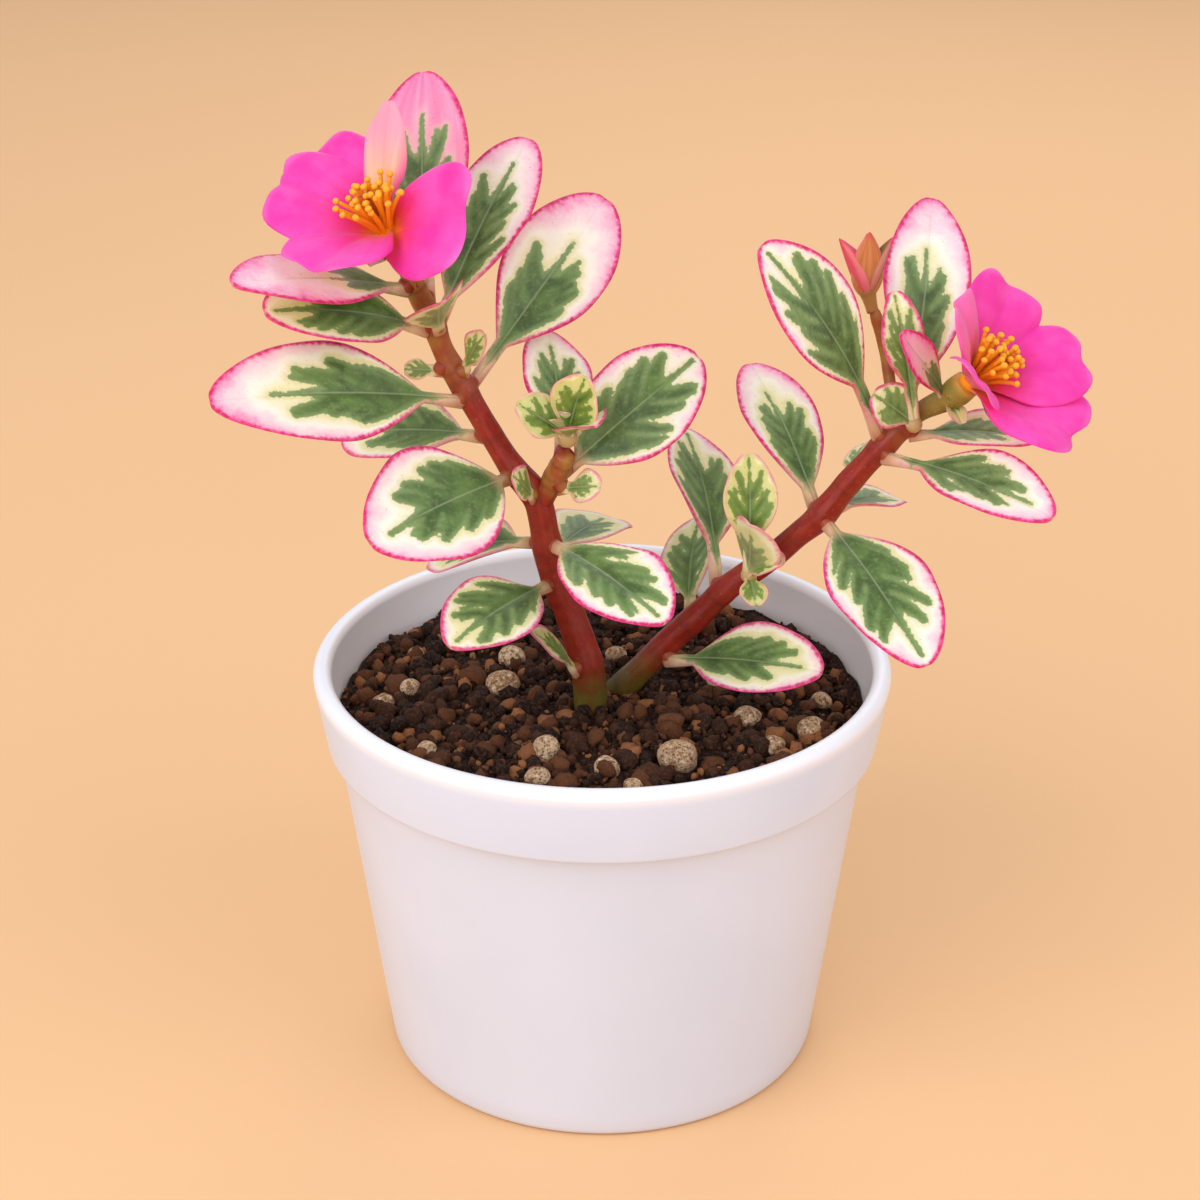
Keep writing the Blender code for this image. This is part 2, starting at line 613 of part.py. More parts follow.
def make_flower(name, plan, group):
    """A flower: its calyx, the corolla of fused petals, and the stamens round the ovary."""
    throat = Vector(plan["throat"])
    stem_end, along, _ = place_on(plan["stem"], 1.0)
    heading, pitch = plan["axis"]
    frame = turn(heading, pitch - 90, 0).to_matrix()
    axis = frame @ Vector((0.0, 0.0, 1.0))
    calyx_top = throat - axis * (RECEPTACLE_HEIGHT + GAP)
    foot = stem_end + along * GAP
    elbow = foot + along * CALYX_ELBOW
    neck = calyx_top - axis * CALYX_ELBOW
    foot_radius, elbow_radius, neck_radius, top_radius = CALYX_RADII
    route = [
        (*foot, foot_radius), (*elbow, elbow_radius), (*neck, neck_radius), (*calyx_top, top_radius),
    ]
    calyx = tube(f"{name}_calyx", route, STEM_SIDES, group)
    sepals = collection(f"{name}_sepals")
    for number, (heading, pitch, roll, length, width) in enumerate(plan["sepals"]):
        sepal = leaf(f"{name}_sepal_{number + 1}", length, width, 0.4, 0.2, sepals)
        sepal.location = (calyx_top - axis * SEPAL_DROP) * MM
        sepal.rotation_euler = turn(heading, pitch, roll)
    finish(fuse(calyx, sepals), CALYX_GREEN)

    corolla = rod(
        f"{name}_corolla", throat - axis * RECEPTACLE_HEIGHT, throat + axis * RECEPTACLE_RISE,
        (RECEPTACLE_RADIUS, RECEPTACLE_RADIUS), 10, group,
    )
    petals = collection(f"{name}_petals")
    for number, (turned, lift, roll, length, width) in enumerate(plan["petals"]):
        made = petal(f"{name}_petal_{number + 1}", length, width, petals)
        facing = frame @ turn(turned, lift, roll).to_matrix()
        made.matrix_world = Matrix.Translation(throat * MM) @ facing.to_4x4()
    finish(fuse(corolla, petals), PINK_PETAL)

    heart = throat + axis * OVARY_HEIGHT
    stamens = ball(f"{name}_stamens", heart, OVARY_RADIUS, 1, group)
    filaments = collection(f"{name}_filaments")
    for ring, (count, lean, length) in enumerate(STAMEN_RINGS):
        for number in range(count):
            turned = 360 * (number + 0.5 * ring) / count
            way = frame @ (turn(turned, 90 - lean, 0).to_matrix() @ Vector((1.0, 0.0, 0.0)))
            tip = heart + way * length
            label = f"{name}_{ring + 1}_{number + 1}"
            rod(f"filament_{label}", heart, tip, (FILAMENT_RADIUS, FILAMENT_RADIUS), 3, filaments)
            ball(f"anther_{label}", tip, ANTHER_RADIUS, 1, filaments)
    finish(fuse(stamens, filaments), ORANGE_STAMEN)


def make_bud(group):
    """The bud: pointed scales on a small foot at the end of its stalk."""
    bud = ball("bud", BUD_FOOT, BUD_FOOT_RADIUS, 2, group)
    scales = collection("bud_scales")
    for number, (heading, pitch, length, width) in enumerate(BUD_SCALES):
        bm = bmesh.new()
        bmesh.ops.create_uvsphere(bm, u_segments=6, v_segments=7, radius=0.5)
        for vert in bm.verts:
            narrowing = 1 - 0.5 * max(0.0, vert.co.z + 0.1)
            vert.co = Vector((
                length * (vert.co.z + 0.42),
                width * vert.co.x * narrowing,
                0.6 * width * vert.co.y * narrowing,
            )) * MM
        scale = object_from(f"bud_scale_{number + 1}", bm, scales)
        offset = turn(heading, 0, 0).to_matrix() @ Vector((0.3, 0.0, 0.1 * number))
        scale.location = (Vector(BUD_FOOT) + offset) * MM
        scale.rotation_euler = turn(heading, pitch, 10)
    finish(fuse(bud, scales), BUD_RED)


def main():
    for old in list(bpy.data.objects):
        bpy.data.objects.remove(old)
    portulaca = collection("portulaca")
    cutters = collection("cutters")
    make_pot(portulaca, cutters)
    make_soil(portulaca, cutters)
    knobs = make_leaves(portulaca)
    left = [(LEFT_STEM, STEM_SIDES), (SIDE_STEM, STEM_SIDES)]
    right = [(RIGHT_STEM, STEM_SIDES), (BUD_STALK, STALK_SIDES)]
    make_stem("stem_left", left, knobs["left"] + knobs["side"], portulaca)
    make_stem("stem_right", right, knobs["right"], portulaca)
    for name, (heart, leaves) in TUFTS.items():
        make_tuft(name, heart, leaves, portulaca)
    for name, plan in FLOWERS.items():
        make_flower(name, plan, portulaca)
    make_bud(portulaca)
    for cutter in cutters.objects:
        cutter.hide_render = True
        cutter.display_type = "WIRE"


main()
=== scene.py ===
"""The looks of a young variegated portulaca with two open flowers and a bud, in its white pot.

Each piece stands for one or more solids of the frame and keeps their places, so the tables below
repeat them in millimetres and degrees. The meshes are in metres. The origin is the middle of the
pot's foot, +Z is up, and the plant shows its front to -Y.

A leaf or petal is a blade laid along its own +X with its upper face to +Z. Its heading turns it
about +Z from +X, its pitch lifts its tip, and its roll turns it about its own midrib.
"""

import math

import bmesh
import bpy
import numpy as np
from mathutils import Euler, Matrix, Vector


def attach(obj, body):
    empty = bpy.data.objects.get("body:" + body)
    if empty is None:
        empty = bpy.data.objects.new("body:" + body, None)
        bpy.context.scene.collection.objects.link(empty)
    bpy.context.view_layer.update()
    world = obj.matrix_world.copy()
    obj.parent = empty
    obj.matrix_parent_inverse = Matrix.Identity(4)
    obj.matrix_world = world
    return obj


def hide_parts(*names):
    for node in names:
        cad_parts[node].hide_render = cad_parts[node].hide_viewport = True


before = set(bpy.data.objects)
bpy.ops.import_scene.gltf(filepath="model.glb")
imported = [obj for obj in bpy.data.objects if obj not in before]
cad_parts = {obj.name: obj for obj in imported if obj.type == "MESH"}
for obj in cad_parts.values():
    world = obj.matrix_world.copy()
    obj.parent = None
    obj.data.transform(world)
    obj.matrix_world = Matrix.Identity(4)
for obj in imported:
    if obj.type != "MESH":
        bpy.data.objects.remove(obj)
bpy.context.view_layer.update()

MM = 0.001

# The photograph's view: distance and height of the point looked at, tilt below the horizon, lens.
VIEW_DISTANCE = 343.9
VIEW_HEIGHT = 67.1
VIEW_SIDE = -0.3
VIEW_TILT = 24.6
VIEW_LENS = 75.0
SENSOR = 36.0

# The pot.
POT_HEIGHT = 58.8
LIP_OUTER_RADIUS = 40.0
LIP_INNER_RADIUS = 37.4
COLLAR_FOOT_RADIUS = 38.4
COLLAR_FOOT_HEIGHT = 47.7
BODY_TOP_RADIUS = 37.0
FOOT_RADIUS = 30.9
FOOT_ROUNDING = 1.2
WALL = 2.5
FLOOR = 3.0
POT_STEPS = 160

# The soil.
SOIL_HEIGHT = 52.3
SOIL_RADIUS = 36.4
SOIL_DEPTH = 6.0
PEBBLES = [
    (-14.0, 2.5, 2.5), (-7.5, -16.5, 2.1), (10.0, -19.0, 2.7), (28.5, -11.0, 2.0),
    (20.0, -7.0, 1.9), (-13.0, 11.5, 2.0), (-27.0, 2.0, 1.5), (-23.5, -16.5, 1.4),
    (-8.5, -24.5, 1.7), (0.5, -22.0, 1.9), (4.0, -26.5, 1.4), (23.0, -15.5, 1.6),
    (30.5, -2.0, 1.5), (16.0, 3.5, 1.4), (-30.5, -3.0, 1.7), (-27.0, 12.5, 1.4),
    (12.0, 20.0, 2.1), (-5.0, 25.0, 1.8), (22.0, 14.0, 1.7), (2.0, 12.5, 1.5),
]
CRUMBS = 1500
CRUMB_SIZES = (0.55, 1.75)
GRIT = 3600
GRIT_SIZES = (0.18, 0.6)

# Each stem's route, from its root up: x, y, z and radius.
LEFT_STEM = [
    (-1.5, -3.0, 45.0, 2.3), (-1.6, -3.0, 52.5, 2.3), (-2.2, -3.0, 59.0, 2.2), (-4.0, -2.5, 65.0, 2.1),
    (-6.2, -2.0, 71.0, 2.0), (-7.5, -2.0, 76.5, 1.95), (-8.8, -2.0, 83.0, 1.9), (-12.0, -2.0, 87.5, 1.7),
    (-14.2, -1.5, 91.0, 1.55), (-16.5, -1.0, 95.0, 1.5), (-19.0, -0.5, 99.5, 1.45),
    (-21.0, 0.0, 103.5, 1.4), (-22.3, 0.0, 107.5, 1.4), (-24.0, -0.8, 111.5, 1.35),
    (-25.0, -2.0, 114.5, 1.3),
]
SIDE_STEM = [
    (-8.6, -2.0, 82.0, 1.6), (-6.8, -2.6, 85.4, 1.5), (-5.4, -3.6, 88.5, 1.4), (-4.8, -4.2, 90.5, 1.2),
]
RIGHT_STEM = [
    (-2.5, 4.5, 46.0, 2.0), (2.6, 2.0, 52.5, 1.95), (6.2, 1.0, 56.9, 1.85), (9.7, 0.5, 61.0, 1.8),
    (13.5, 0.0, 65.0, 1.8), (17.5, -0.5, 69.5, 1.75), (22.5, -1.0, 73.5, 1.7), (26.5, -1.5, 77.5, 1.7),
    (29.5, -2.0, 80.5, 1.7), (33.0, -2.5, 85.5, 1.65), (36.0, -3.0, 89.5, 1.6), (39.0, -3.0, 93.0, 1.55),
    (41.0, -3.2, 95.0, 1.5),
]
BUD_STALK = [
    (38.8, -2.6, 93.0, 0.9), (38.2, 0.3, 98.0, 0.8), (37.3, 2.4, 103.0, 0.8), (35.7, 3.2, 108.3, 0.8),
]
KNOB_RADIUS = 1.1
KNOB_OUT = 0.6
GAP = 0.3
STEM_SIDES = 28
STEM_END = (0.97, 0.88, 0.7, 0.35)
NODE_SWELLING = 0.10
NODE_REACH = 1.5
SCAR_DROP = 1.0
SCAR_WIDTH = 0.30
GREEN_BELOW = 62.0
GREEN_FULLY = 53.0

# Leaf blades. Each mesh has the least length that it serves, then its rows and columns.
LEAF_MESHES = [(15, 74, 36), (8, 44, 24), (0, 30, 16)]
LEAF_TIP_CROWDING = 1.7
LEAF_CROWDING = 0.35
LEAF_SINK = 1.2
LEAF_ROOT = 1.2
LEAF_FOOT_POWER = 0.62
LEAF_TIP_POWER = 0.55
STALK_POWER = 2.2
STALK_HALF_WIDTH = 0.9
STALK_THICKENING = 0.28
LEAF_TIP_THICKNESS = 0.34
LEAF_FOOT_THICKENING = 0.26
MOST_THICKNESS = 0.9
FULL_LEAF = 22
LEAF_WAVE = 0.38
LEAF_NOTCH = 0.35
VEIN_REACH = 0.55
VEIN_FURROW = 0.20
VEIN_KEEL = 0.22
LEAF_SEED = 100
TUFT_SEED = 300
SEPAL_SEED = 500

# The green patch. Widths and lengths are shares of the leaf's own.
REACH_GAIN = 1.08
REACH_LIMIT = 0.95
FINGER_WIDTH = 0.106
FINGER_TIP_WIDTH = 0.042
FORK_CHANCE = 0.65
FORK_LENGTH = 0.11
PATCH_BORDER = 0.075

# Single leaves: name, stem, place along it from 0 to 1, heading, pitch, roll, length, width, bow and
# cup, then the look: how far the green reaches, how pink the edge is, the stalk's share, how young.
LEAVES = [
    ("leaf_left_01", "left", 0.19, -145, 48, -35, 9.5, 5.0, 0.5, 0.15, 0.80, 0.45, 0.10, 0.7),
    ("leaf_left_02", "left", 0.36, -126, -3, -20, 19.5, 12.0, 1.2, 0.20, 0.86, 0.55, 0.08, 0.2),
    ("leaf_left_03", "left", 0.40, 63, -6, 5, 15.5, 11.0, 1.0, 0.15, 0.75, 0.35, 0.08, 0.3),
    ("leaf_left_04", "left", 0.43, -51, -8, 15, 21.5, 13.0, 1.2, 0.15, 0.86, 0.90, 0.04, 0.0),
    ("leaf_left_05", "left", 0.43, 145, -22, -20, 17.5, 12.0, 1.0, 0.15, 0.80, 0.40, 0.10, 0.2),
    ("leaf_left_06", "left", 0.59, -135, -5, -40, 22.5, 17.0, 1.5, 0.20, 0.80, 1.00, 0.03, 0.0),
    ("leaf_left_07", "left", 0.67, 152, -10, -30, 20.5, 12.0, 1.0, 0.15, 0.78, 0.50, 0.08, 0.2),
    ("leaf_left_08", "left", 0.75, -147, 11, -45, 34.5, 14.5, 2.0, 0.15, 0.72, 0.85, 0.12, 0.0),
    ("leaf_left_09", "left", 0.76, 52, 33, 40, 32.5, 14.5, 1.5, 0.15, 0.66, 0.95, 0.14, 0.0),
    ("leaf_left_10", "left", 0.79, -45, 55, 80, 6.0, 4.4, 0.5, 0.15, 0.90, 0.40, 0.12, 0.8),
    ("leaf_left_11", "left", 0.81, -170, 5, -50, 3.2, 3.0, 0.2, 0.15, 0.97, 0.20, 0.10, 0.4),
    ("leaf_left_12", "left", 0.885, -80, 38, 30, 8.5, 9.5, 0.8, 0.25, 0.70, 0.75, 0.03, 0.4),
    # leaf_left_13's young share of 0.5 is painted shade: it darkens the greens and cream of this full-grown
    # leaf under the flower.
    ("leaf_left_13", "left", 0.89, -145, 16, -34, 22.5, 13.0, 1.5, 0.20, 0.86, 0.65, 0.10, 0.5),
    ("leaf_left_14", "left", 0.93, 93, 53, -15, 30.0, 13.5, 1.5, 0.15, 0.72, 1.60, 0.06, 0.0),
    ("leaf_left_15", "left", 0.89, 62, 38, 15, 28.5, 11.5, 1.5, 0.15, 0.76, 1.10, 0.06, 0.0),
    ("leaf_left_16", "left", 0.98, -139, 13, -20, 25.0, 11.5, 1.0, 0.10, 0.40, 0.75, 0.06, 0.0),
    ("leaf_side_01", "left", 0.54, -125, 45, -70, 5.0, 5.0, 0.3, 0.15, 0.85, 0.45, 0.10, 0.6),
    ("leaf_side_02", "side", 0.50, -35, 15, 50, 5.0, 5.0, 0.3, 0.15, 0.80, 0.35, 0.10, 0.4),
    ("leaf_side_03", "side", 0.66, 18, 37, 55, 21.5, 14.0, 1.5, 0.15, 0.88, 1.05, 0.04, 0.0),
    ("leaf_side_04", "side", 0.90, 99, 38, 20, 17.5, 10.5, 1.0, 0.15, 0.76, 0.90, 0.06, 0.1),
    ("leaf_right_01", "right", 0.27, -34, 11, 30, 23.0, 12.0, 1.2, 0.20, 0.80, 0.60, 0.12, 0.2),
    ("leaf_right_02", "right", 0.36, 82, 28, -30, 15.5, 10.0, 1.0, 0.20, 0.86, 0.35, 0.08, 0.3),
    ("leaf_right_03", "right", 0.45, 101, 34, 25, 24.5, 12.0, 1.5, 0.20, 0.86, 0.60, 0.16, 0.1),
    ("leaf_right_04", "right", 0.72, 112, 32, 0, 23.5, 11.0, 1.5, 0.15, 0.68, 0.75, 0.06, 0.1),
    ("leaf_right_05", "right", 0.74, 43, -10, 5, 12.0, 8.0, 0.8, 0.15, 0.75, 0.60, 0.12, 0.2),
    ("leaf_right_06", "right", 0.72, -64, -22, 10, 25.5, 14.0, 1.5, 0.20, 0.86, 0.95, 0.05, 0.0),
    ("leaf_right_07", "right", 0.81, 71, 12, -35, 7.5, 4.5, 0.4, 0.15, 0.85, 0.35, 0.12, 0.3),
    ("leaf_right_08", "right", 0.93, -158, 57, -65, 31.5, 13.0, 2.5, 0.15, 0.90, 0.95, 0.22, 0.0),
    ("leaf_right_09", "right", 0.91, -45, -2, 20, 25.0, 11.0, 1.5, 0.20, 0.80, 1.00, 0.16, 0.0),
    ("leaf_right_10", "right", 1.00, 78, 44, 20, 30.5, 12.0, 1.5, 0.15, 0.66, 0.95, 0.06, 0.0),
    ("leaf_right_11", "right", 0.98, -12, 2, 10, 14.5, 9.5, 0.8, 0.15, 0.80, 0.60, 0.08, 0.3),
]

# Tufts: the heart's place and radius, then heading, pitch, roll, length, width, bow and cup of every
# leaf, and its look as above.
TUFTS = {
    "tuft_side": ((-4.6, -4.4, 92.6, 1.7), [
        (-55, 66, 115, 11.0, 7.5, 0.5, 0.20, 0.92, 0.15, 0.12, 1.0),
        (-165, 38, -50, 9.0, 6.5, 0.5, 0.20, 0.90, 0.15, 0.12, 1.0),
        (-58, 28, 8, 8.5, 8.0, 0.8, 0.25, 0.70, 0.75, 0.06, 0.7),
        (-100, 65, -10, 5.0, 3.0, 0.3, 0.20, 0.50, 0.0, 0.12, 1.2),
        (120, 60, 0, 6.0, 4.0, 0.3, 0.20, 0.80, 0.10, 0.12, 1.0),
        (-145, 50, 30, 4.2, 2.4, 0.3, 0.20, 0.60, 0.0, 0.12, 1.2),
        (-50, 55, -40, 3.8, 2.2, 0.3, 0.20, 0.60, 0.0, 0.12, 1.2),
    ]),
    "tuft_middle": ((19.8, -4.4, 72.8, 1.4), [
        (95, 80, 0, 17.0, 7.5, 0.8, 0.20, 0.92, 0.20, 0.22, 0.9),
        (-95, 68, -42, 10.0, 9.0, 0.5, 0.25, 0.70, 0.40, 0.05, 0.7),
        (-30, 30, 30, 6.5, 5.0, 0.8, 0.25, 0.80, 0.40, 0.12, 0.7),
        (-80, -30, 0, 5.5, 4.0, 0.3, 0.20, 0.85, 0.20, 0.12, 0.8),
    ]),
    "tuft_top": ((40.7, -6.3, 95.2, 1.4), [
        (133, 75, -30, 18.0, 6.0, 0.8, 0.20, 0.88, 0.65, 0.22, 0.5),
        (-175, 38, -65, 7.5, 6.5, 0.5, 0.20, 0.85, 0.60, 0.12, 0.5),
    ]),
}

# Flowers: stem, throat, heading and pitch of the axis, petals as heading, pitch, roll, length, width
# and paleness, and sepals as heading, pitch, roll, length, width and pinkness.
FLOWERS = {
    "flower_left": {
        "stem": LEFT_STEM,
        "throat": (-27.0, -6.0, 120.4),
        "axis": (-125, 59),
        "petals": [
            (-82, 34, 0, 16.5, 14.5, 0.0), (-110, 27, 0, 16.5, 14.0, 0.0), (-3, 30, 0, 15.5, 13.5, 0.0),
            (93, 23, 25, 16.5, 15.5, 0.0), (-162, 38, -15, 17.5, 9.5, 1.0),
        ],
        "sepals": [(-150, -10, 0, 4.5, 3.0, 0.0), (30, -20, 0, 4.5, 3.0, 0.0)],
    },
    "flower_right": {
        "stem": RIGHT_STEM,
        "throat": (47.0, -6.0, 100.4),
        "axis": (-30, 45),
        "petals": [
            (125, 40, 0, 16.0, 12.5, 0.0), (56, 43, 0, 17.0, 12.5, 0.0), (5, 30, 12, 17.0, 13.5, 0.0),
            (-165, 42, 0, 13.2, 9.5, 0.3), (-85, 36, 0, 12.0, 9.0, 0.0),
        ],
        "sepals": [(-150, 53, -65, 13.5, 5.6, 1.3), (-60, -30, 0, 4.5, 3.0, 0.0)],
    },
}
PETAL_ROWS = 44
PETAL_COLUMNS = 36
PETAL_CROWDING = 0.12
PETAL_BOW = 1.2
PETAL_CUP = 0.18
PETAL_NOTCH = 0.08
PETAL_MIDDLE = 0.58
PETAL_LOBE = 0.06
PETAL_ROOT = 0.5
PETAL_POINT = 0.60
PETAL_RUFFLE = 0.38
PETAL_CRIMP = 0.16
PETAL_FURROW = 0.35
PETAL_THICKNESS = 0.26
PETAL_THINNING = 0.10
RECEPTACLE_HEIGHT = 1.2
CALYX_RADII = (1.2, 1.3, 1.7, 2.0)
CALYX_ELBOW = 1.2
SEPAL_DROP = 2.0
SEPAL_BOW = 0.4
SEPAL_CUP = 0.2
OVARY_HEIGHT = 2.8
OVARY_RADIUS = 1.2
STAMEN_RINGS = [(4, 8, 5.2), (7, 18, 5.9), (10, 28, 6.3), (12, 39, 6.2)]
FILAMENT_RADIUS = 0.34
FILAMENT_TAPER = 0.09
ANTHER = (0.62, 0.43, 0.43)
STYLE_LENGTH = 4.0
STIGMA_LOBES = 5

# The bud: foot, then heading, pitch, length and width of each scale and its redness.
BUD_FOOT = (34.8, 3.3, 110.6)
BUD_SCALES = [
    (180, 62, 8.5, 4.0, 1.0), (-95, 80, 9.0, 4.4, 0.4), (0, 68, 8.0, 3.4, 0.0), (90, 70, 7.5, 3.6, 0.5),
]

# The stage, in metres. Each lamp has its size, power, place and colour.
FLOOR_HALF = 3.0
FLOOR_COLOURS = ("f2bf8b", "f6c592")
SKY_COLOUR = "f1f5ff"
SKY_STRENGTH = 0.72
LAMP_AIM = (0.0, 0.0, 0.08)
LAMPS = [
    ("key", 0.6, 2.5, (-0.50, -0.42, 0.60), "f8fbff"),
    ("fill", 0.7, 1.9, (0.60, -0.35, 0.55), "f0f4ff"),
    ("front", 0.5, 1.9, (-0.30, -0.78, 0.34), "e6eeff"),
    ("back", 0.5, 1.0, (0.15, 0.6, 0.55), "ffffff"),
]


def srgb(code):
    """A colour from its six-digit code, as the shaders want it."""
    parts = [int(code[place:place + 2], 16) / 255 for place in (0, 2, 4)]
    return (*(x / 12.92 if x <= 0.04045 else ((x + 0.055) / 1.055) ** 2.4 for x in parts), 1.0)


# Meshes

class Form:
    """One piece's mesh, gathered body by body in millimetres, with named values at its points."""

    def __init__(self):
        self.points = []
        self.faces = []
        self.values = []
        self.count = 0

    def add(self, points, faces, values):
        """Adds points, faces between them, and the values that they carry."""
        self.points.append(np.asarray(points, float))
        self.faces.extend([tuple(int(corner) + self.count for corner in face) for face in faces])
        self.values.append({key: np.broadcast_to(value, len(points)) for key, value in values.items()})
        self.count += len(points)

    def loft(self, rings, values):
        """Adds a closed body through rings of points. Each end closes straight across its ring."""
        rows, sides, _ = rings.shape
        at = np.arange(rows * sides).reshape(rows, sides)
        beside = np.roll(at, -1, axis=1)
        quads = np.stack([at[:-1], beside[:-1], beside[1:], at[1:]], -1).reshape(-1, 4)
        faces = [*quads]
        for ring, order in ((at[0], 1), (at[-1], -1)):
            for side in range(sides // 2):
                far = (ring[-side % sides], ring[(-side - 1) % sides])
                face = (ring[side], *far, ring[side + 1])[::order]
                faces.append(tuple(dict.fromkeys(face)))
        full = {}
        for key, value in values.items():
            full[key] = np.broadcast_to(np.asarray(value, float), (rows, sides)).ravel()
        self.add(rings.reshape(-1, 3), faces, full)

    def make(self, name, material, slot, *nodes):
        """The finished piece, riding with the plant in place of the nodes."""
        mesh = bpy.data.meshes.new(name)
        mesh.from_pydata(np.vstack(self.points) * MM, [], self.faces)
        for key in sorted(set().union(*self.values)):
            parts = zip(self.values, self.points)
            column = np.concatenate([part.get(key, np.zeros(len(points))) for part, points in parts])
            mesh.attributes.new(key, "FLOAT", "POINT").data.foreach_set("value", column)
        mesh.shade_smooth()
        mesh.materials.append(material)
        piece = bpy.data.objects.new(name, mesh)
        bpy.context.scene.collection.objects.link(piece)
        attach(piece, "root")
        if nodes:
            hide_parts(*nodes)
        return piece


def smooth_route(points, steps):
    """Points on a smooth curve through a route's own points, with their radii."""
    knots = np.array(points, float)
    knots = np.vstack([2 * knots[0] - knots[1], knots, 2 * knots[-1] - knots[-2]])
    made = []
    for before, start, end, after in zip(knots, knots[1:], knots[2:], knots[3:]):
        for step in range(steps):
            t = step / steps
            made.append(0.5 * (
                2 * start + (end - before) * t
                + (2 * before - 5 * start + 4 * end - after) * t ** 2
                + (3 * start - before - 3 * end + after) * t ** 3
            ))
    made.append(knots[-2])
    return np.array(made)


def place_on(points, share):
    """The point, direction and radius of a stem at a share of its length."""
    route = smooth_route(points, 2)
    steps = np.linalg.norm(np.diff(route[:, :3], axis=0), axis=1)
    shares = np.concatenate([[0.0], np.cumsum(steps)]) / steps.sum()
    place = np.array([np.interp(share, shares, route[:, axis]) for axis in range(4)])
    step = min(int(np.searchsorted(shares, share, side="right")) - 1, len(steps) - 1)
    along = route[step + 1, :3] - route[step, :3]
    return place[:3], along / np.linalg.norm(along), place[3]


def turn(heading, pitch, roll):
    """The rotation of a blade from its heading, pitch and roll in degrees, as an array."""
    angles = Euler((math.radians(roll), math.radians(-pitch), math.radians(heading)))
    return np.array(angles.to_matrix())


def unit(vector):
    return vector / np.linalg.norm(vector)


def tube_rings(centres, radii, sides):
    """Round rings along a route, turning with it and never about it."""
    tangents = np.gradient(centres, axis=0)
    tangents /= np.linalg.norm(tangents, axis=1, keepdims=True)
    side = unit(np.cross(tangents[0], (0.31, 0.52, 0.79)))
    angle = np.linspace(0, 2 * math.pi, sides, endpoint=False)[:, None]
    rings = []
    for centre, tangent, radius in zip(centres, tangents, radii):
        side = unit(side - tangent * (side @ tangent))
        other = np.cross(tangent, side)
        rings.append(centre + radius * (np.cos(angle) * side + np.sin(angle) * other))
    return np.array(rings)


def ball_points(detail):
    """A unit ball's points and faces."""
    bm = bmesh.new()
    bmesh.ops.create_icosphere(bm, subdivisions=detail, radius=1.0)
    points = np.array([vert.co for vert in bm.verts])
    faces = np.array([[vert.index for vert in face.verts] for face in bm.faces])
    bm.free()
    return points, faces


def smoothstep(low, high, value):
    t = np.clip((value - low) / (high - low), 0, 1)
    return t * t * (3 - 2 * t)


def blade_section(columns, crowding):
    """Places across a blade, over its upper face from edge to edge and back under it, crowded
    towards the edges, and 1 or -1 for the face of each."""
    t = np.linspace(1, -1, columns + 1)
    v = t * (1 + crowding - crowding * t * t)
    v = np.concatenate([v, v[-2:0:-1]])
    return v, np.where(np.arange(2 * columns) <= columns, 1.0, -1.0)


# Leaves

def leaf_half_width(u, width, stalk):
    """Half the width of a leaf at places along it: a narrow stalk, then an egg-shaped blade."""
    along = np.clip((u - stalk) / (1 - stalk), 0, 1)
    base = LEAF_FOOT_POWER + STALK_POWER * stalk
    power = base + (LEAF_TIP_POWER - base) * along
    blade = 0.5 * width * np.sin(math.pi * along ** 1.1) ** power
    return np.maximum(blade, STALK_HALF_WIDTH * np.clip(1 - u, 0, 1) ** 0.3)


def edge_distance(x, y, outline):
    """How far each point lies from an outline, in millimetres."""
    start = outline[:-1]
    run = outline[1:] - start
    gap = np.stack([x, y], -1)[..., None, :] - start
    t = np.clip((gap * run).sum(-1) / np.maximum((run * run).sum(-1), 1e-9), 0, 1)
    return np.linalg.norm(gap - t[..., None] * run, axis=-1).min(-1)


def fingers(length, width, stalk, reach, draw):
    """The green patch as round spots in rows: one finger along the midrib, others that branch
    forward from it to both sides, and a short one off most of those."""
    spots = []
    reach = min(REACH_GAIN * reach, REACH_LIMIT)

    def finger(start, middle, end, radii):
        t = np.linspace(0, 1, len(radii))[:, None]
        route = (1 - t) ** 2 * start + 2 * t * (1 - t) * middle + t * t * end
        spots.append(np.hstack([route, radii[:, None]]))

    def at(u, v):
        return np.array([length * u, leaf_half_width(u, width, stalk) * v])

    def tapering(first, last, steps):
        t = np.linspace(0, 1, steps)
        return first + (last - first) * t ** 1.3

    t = np.linspace(0, 1, 90)
    spine = 0.028 * width + 0.12 * width * smoothstep(0.0, 0.28, t) * smoothstep(0.95, 0.35, t)
    bend = draw.uniform(-0.10, 0.10)
    finger(at(0.5 * stalk, 0), at(0.45 * reach, -bend), at(reach, bend), spine)
    pairs = 5 if length > 18 else 4 if length > 10 else 3
    wide = 0.76 + 0.16 * smoothstep(0.86, 0.93, reach)
    for side in (-1, 1):
        shift = draw.uniform(0.0, 0.5)
        for pair in range(pairs):
            share = (pair + shift + draw.uniform(0.0, 0.3)) / pairs
            root = stalk + 0.01 + share * (0.70 * reach - stalk)
            out = root + (0.28 - 0.06 * share) * reach * draw.uniform(0.8, 1.2)
            spread = (wide - 0.30 * share) * draw.uniform(0.72, 1.08)
            start = at(root, 0)
            end = at(min(out, 0.97 * reach), side * spread)
            middle = 0.5 * (start + end) + np.array([-0.012 * length, side * 0.045 * width])
            thick = FINGER_WIDTH * width * draw.uniform(0.8, 1.15)
            thin = FINGER_TIP_WIDTH * width * draw.uniform(0.8, 1.4)
            finger(start, middle, end, tapering(thick, thin, 26))
            if draw.random() < FORK_CHANCE:
                fork = start + draw.uniform(0.5, 0.7) * (end - start)
                ahead = FORK_LENGTH * length * draw.uniform(0.7, 1.1)
                ahead = fork + np.array([ahead, side * 0.03 * width])
                finger(fork, 0.5 * (fork + ahead), ahead, tapering(0.055 * width, 0.025 * width, 20))
    return np.vstack(spots)


